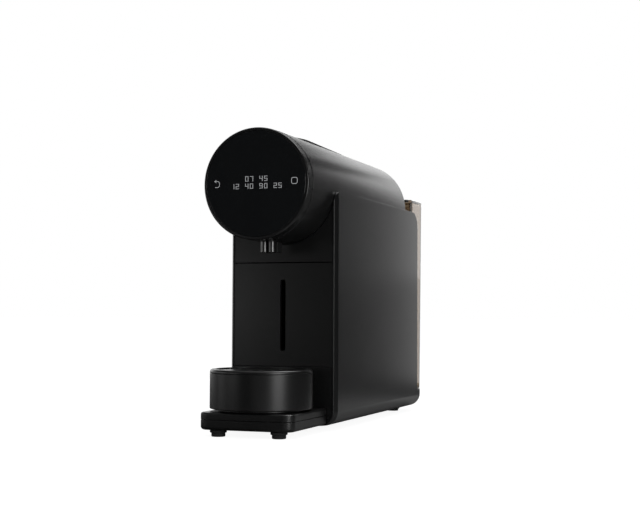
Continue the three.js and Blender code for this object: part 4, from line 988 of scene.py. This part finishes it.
def tank_cover(place):
    """The tank's lid: a thin plate over a ring that fits inside the walls."""
    under = tank.top + SEAT
    cover = slab("tank_cover", "Z", tank_plan, under, place.top, 0.3 * MM, 0.9 * MM)
    plug = TANK_WALL + SEAT + PLUG_PLAY
    ring = prism("plug", "Z", tank_plan(plug), place.bottom, under + PLUG_LAP)
    carve(ring, prism("plug_room", "Z", tank_plan(plug + PLUG_WALL), place.bottom - PAST, under))
    return shade(carve(cover, ring, keep="UNION"))


def tank_handle(place):
    def plan(inset):
        return rectangle(place.left + inset, place.right - inset, place.front + inset, place.rear,
                         (GRIP_ROUND, GRIP_ROUND, 0, 0), 12)
    return shade(slab("tank_handle", "Z", plan, place.bottom, place.top, 0.5 * MM, 0.8 * MM))


def gland(place):
    """The bush that the mains lead passes through."""
    radius, floor = place.half_width, place.front + GLAND_DEPTH
    return shade(lathe("gland", "Y", [
        (0, place.front), (radius, place.front, 0.4 * MM), (radius, place.rear, 1.0 * MM),
        (GLAND_BORE, place.rear, 0.8 * MM), (GLAND_BORE, floor), (0, floor)], (place.x, place.z), 64))


# ---- drive ----------------------------------------------------------------------------------------
def threaded_screw(place):
    """The lead screw: a core with its thrust collar, and a thread wound round it up to the bulkhead."""
    bulkhead, gear = Extent("drive_bulkhead"), Extent("screw_gear")
    core = SCREW_RADIUS - THREAD_RIDGE
    collar_front, collar_rear = bulkhead.rear + SEAT, gear.front - SEAT
    screw = lathe("threaded_screw", "Y", [
        (0, place.front), (core, place.front, 1 * MM), (core, collar_front),
        (place.half_width, collar_front, 0.4 * MM), (place.half_width, collar_rear, 0.4 * MM),
        (core, collar_rear), (core, place.rear, 0.5 * MM), (0, place.rear)], (place.x, place.z), 48)
    length = bulkhead.front - place.front - 2 * THREAD_INSET
    return grow(screw, thread_tree(FINISHES["steel"]), turns=length / THREAD_PITCH, radius=core,
                ridge=THREAD_RIDGE, length=length, start=(place.x, place.front + THREAD_INSET, place.z))


def screw_head():
    """A pan head with a cross recess, for the tree that sets screws."""
    driven = lathe("screw_shape", "Z", [
        (0, -SHANK_LENGTH), (SHANK_RADIUS, -SHANK_LENGTH), (SHANK_RADIUS, 0), (PAN_RADIUS, 0, 0.1 * MM),
        (PAN_RADIUS, PAN_HEIGHT, 0.9 * MM), (0, PAN_HEIGHT)], (0, 0), 24)
    long, short = (-CROSS_REACH, CROSS_REACH), (-CROSS_HALF, CROSS_HALF)
    arms = [block("arm", x, y, (CROSS_FLOOR, CROSS_TOP)) for x, y in ((long, short), (short, long))]
    return shade(carve(driven, *arms))


def set_screws():
    """Screws at four places on the motor bracket and at four on the drive's bulkhead.

    Their heads point into the plate and their shanks stand out of it, along Y by the sign of shank."""
    shape = screw_head()
    tree = screw_tree(shape, FINISHES["steel"])
    rings = (("bracket_screws", "motor_bracket", 1, Extent("motor_bracket").rear, 34 * MM, 0.8),
             ("bulkhead_screws", "drive_bulkhead", -1, Extent("drive_bulkhead").front, 36 * MM, 0.6))
    for seed, (name, node, shank, y, radius, start) in enumerate(rings):
        points, faces = [], []
        for quarter in range(4):
            turn = start + quarter * math.pi / 2
            centre = Vector((radius * math.cos(turn), y, axis_z + radius * math.sin(turn)))
            points += [centre + SCREW_MARK * Vector(way)
                       for way in ((1, 0, 0), (-1, 0, shank), (-1, 0, -shank))]
            faces.append(tuple(range(len(points) - 3, len(points))))
        belongs_to(grow(new_piece(name, points, faces), tree, seed=seed), node)
    bpy.data.objects.remove(shape)


# ---- studio ---------------------------------------------------------------------------------------
def add_camera():
    """The camera stands low and right of the dial and looks a little upwards."""
    place = (441.3 * MM, dial.front - 1056.5 * MM, 110.8 * MM)
    yaw, rise, roll = (math.radians(angle) for angle in (19.697, 2.274, 0.238))
    look = Vector((-math.sin(yaw) * math.cos(rise), math.cos(yaw) * math.cos(rise), math.sin(rise)))
    level = Vector((math.cos(yaw), math.sin(yaw), 0))
    upright = level.cross(look)
    right = math.cos(roll) * level + math.sin(roll) * upright
    up = math.cos(roll) * upright - math.sin(roll) * level
    data = bpy.data.cameras.new("camera")
    data.lens = 70.37
    data.sensor_width = 36
    data.clip_start = 0.05
    data.clip_end = 60
    camera = bpy.data.objects.new("camera", data)
    bpy.context.scene.collection.objects.link(camera)
    turn = Matrix((right, up, -look)).transposed().to_4x4()
    camera.matrix_world = Matrix.Translation(place) @ turn
    bpy.context.scene.camera = camera


def add_card(name, place, facing, size, radiance):
    """A soft rectangular light, out of the camera's sight, whose brightness is given as its radiance."""
    width, height = size
    data = bpy.data.lights.new(name, "AREA")
    data.shape = "RECTANGLE"
    data.size, data.size_y = size
    data.energy = math.pi * width * height * radiance
    lamp = bpy.data.objects.new(name, data)
    lamp.visible_camera = False
    lamp.visible_transmission = False
    turn = Vector(facing).to_track_quat("-Z", "Y").to_matrix().to_4x4()
    lamp.matrix_world = Matrix.Translation(place) @ turn
    bpy.context.scene.collection.objects.link(lamp)
    return lamp


def light_studio():
    """A wall of cards behind, brightest just below its top, cards at the front and sides, and two above."""
    left, wall_y = -1.5, 0.75
    for name, right, low, high, radiance in (
            ("rear_low", 0.21, 0.0, 0.17, 0.9), ("rear_middle", 0.215, 0.17, 0.30, 1.3),
            ("rear_high", 0.215, 0.30, 0.50, 1.45), ("rear_top", 0.06, 0.50, 0.60, 1.3)):
        add_card(name, ((right + left) / 2, wall_y, (low + high) / 2), (0, -1, 0),
                 (right - left, high - low), radiance)
    add_card("front_left", (-0.66, -0.75, 0.135), (0, 1, 0), (0.66, 0.15), 1.55)
    add_card("right", (1.15, -0.83, 0.30), (-0.82, 0.57, -0.1), (0.6, 0.6), 5.6)
    add_card("left", (-1.2, -0.45, 0.25), (0.96, 0.28, -0.1), (0.5, 0.5), 1.15)
    add_card("left_rear", (-1.35, 0.35, 0.25), (0.96, -0.28, 0), (0.7, 0.5), 0.8)
    add_card("overhead", (0.2, 0.1, 2.2), (0, 0, -1), (1.6, 1.6), 1.2)
    key = add_card("key", (0.554, 0.226, 1.49), (-0.36, -0.24, -0.9), (0.9, 0.9), 5.5)
    key.visible_diffuse = False


def add_world():
    """White to the camera and through the tank, soft for matt surfaces, dim with a lighter top for gloss."""
    world = bpy.data.worlds.new("studio")
    bpy.context.scene.world = world
    world.cycles.sampling_method = "NONE"
    web = shader_web(world)
    rise = web.across("Generated").out("Z")
    seen, gloss = web.sight()
    fill = 0.42
    level = seen + (1 - seen) * (gloss * web.span(rise, 0.6, 0.95, 0.03, 0.4) + (1 - gloss) * fill)
    glow = web.add("ShaderNodeBackground", inputs={"Color": (1, 1, 1, 1), "Strength": level})
    web.add("ShaderNodeOutputWorld", inputs={"Surface": glow})


def add_floor():
    """A pale floor: white to the camera but for a soft shadow, and dim to gloss but for a painted reflection,
    a lighter band beside the machine's right side.
    """
    reach = 30.0
    corners = [(x, y, 0) for x, y in rectangle(-reach, reach, -reach, reach)]
    floor = new_piece("floor", corners, [(0, 1, 2, 3)])
    material = bpy.data.materials.new("pale_floor")
    web = shader_web(material)
    seen, gloss = web.sight()
    across = web.across()
    # Painted reflection: gloss rays see the floor lighter in a band just right of the machine, fading towards
    # the rear.
    beside = web.span(across, -0.02, 0.10, 0.04, 0.5) * web.span(across, 0.12, 0.24, 1.0, 0.3)
    painted_sheen = beside * web.span(across.out("Y"), 0.25, 0.42, 1.0, 0.22)
    painted_reflection = web.add("ShaderNodeCombineXYZ", inputs={0: painted_sheen, 1: painted_sheen, 2: painted_sheen})
    paint = web.mix(seen, web.mix(gloss, tone(0.8), painted_reflection), tone(0.25))
    matt = web.add("ShaderNodeBsdfDiffuse", inputs={"Color": paint})
    glow = web.add("ShaderNodeEmission", inputs={"Strength": seen * 0.92})
    both = web.add("ShaderNodeAddShader", inputs={0: matt, 1: glow})
    web.add("ShaderNodeOutputMaterial", inputs={"Surface": both})
    floor.data.materials.append(material)


# ---- putting the machine together -----------------------------------------------------------------
def fit(makers):
    """Puts a fine piece in the place of each plain node, in the order given."""
    for node, make in makers.items():
        stands_for(make(Extent(node)), node)


add_camera()
add_world()
add_floor()
light_studio()

fit({"outer_shell": shell_skin, "upper_front_panel": upper_panel, "lower_front_panel": lower_panel,
     "bin_front": bin_panel, "capsule_bin": bin_tub, "base_plate": base_cover, "base_tray": base_foot,
     **dict.fromkeys(FEET, foot), "drip_cup": cup, "drip_lid": cup_cover, "head_tube": head_skin,
     "dial_ring": dial_band, "display_glass": window})
display_rows()
display_signs()
fit({"capsule_lid": sliding_lid, **dict.fromkeys(NOZZLES, nozzle), "tank_body": tank_walls,
     "tank_lid": tank_cover, "tank_grip": tank_handle, "cord_gland": gland, "lead_screw": threaded_screw})
set_screws()
plain_nodes = sorted(node for node, piece in frame["nodes"].items() if not piece.hide_render)
fit(dict.fromkeys(plain_nodes, softened))

bpy.context.scene.view_settings.view_transform = "Standard"
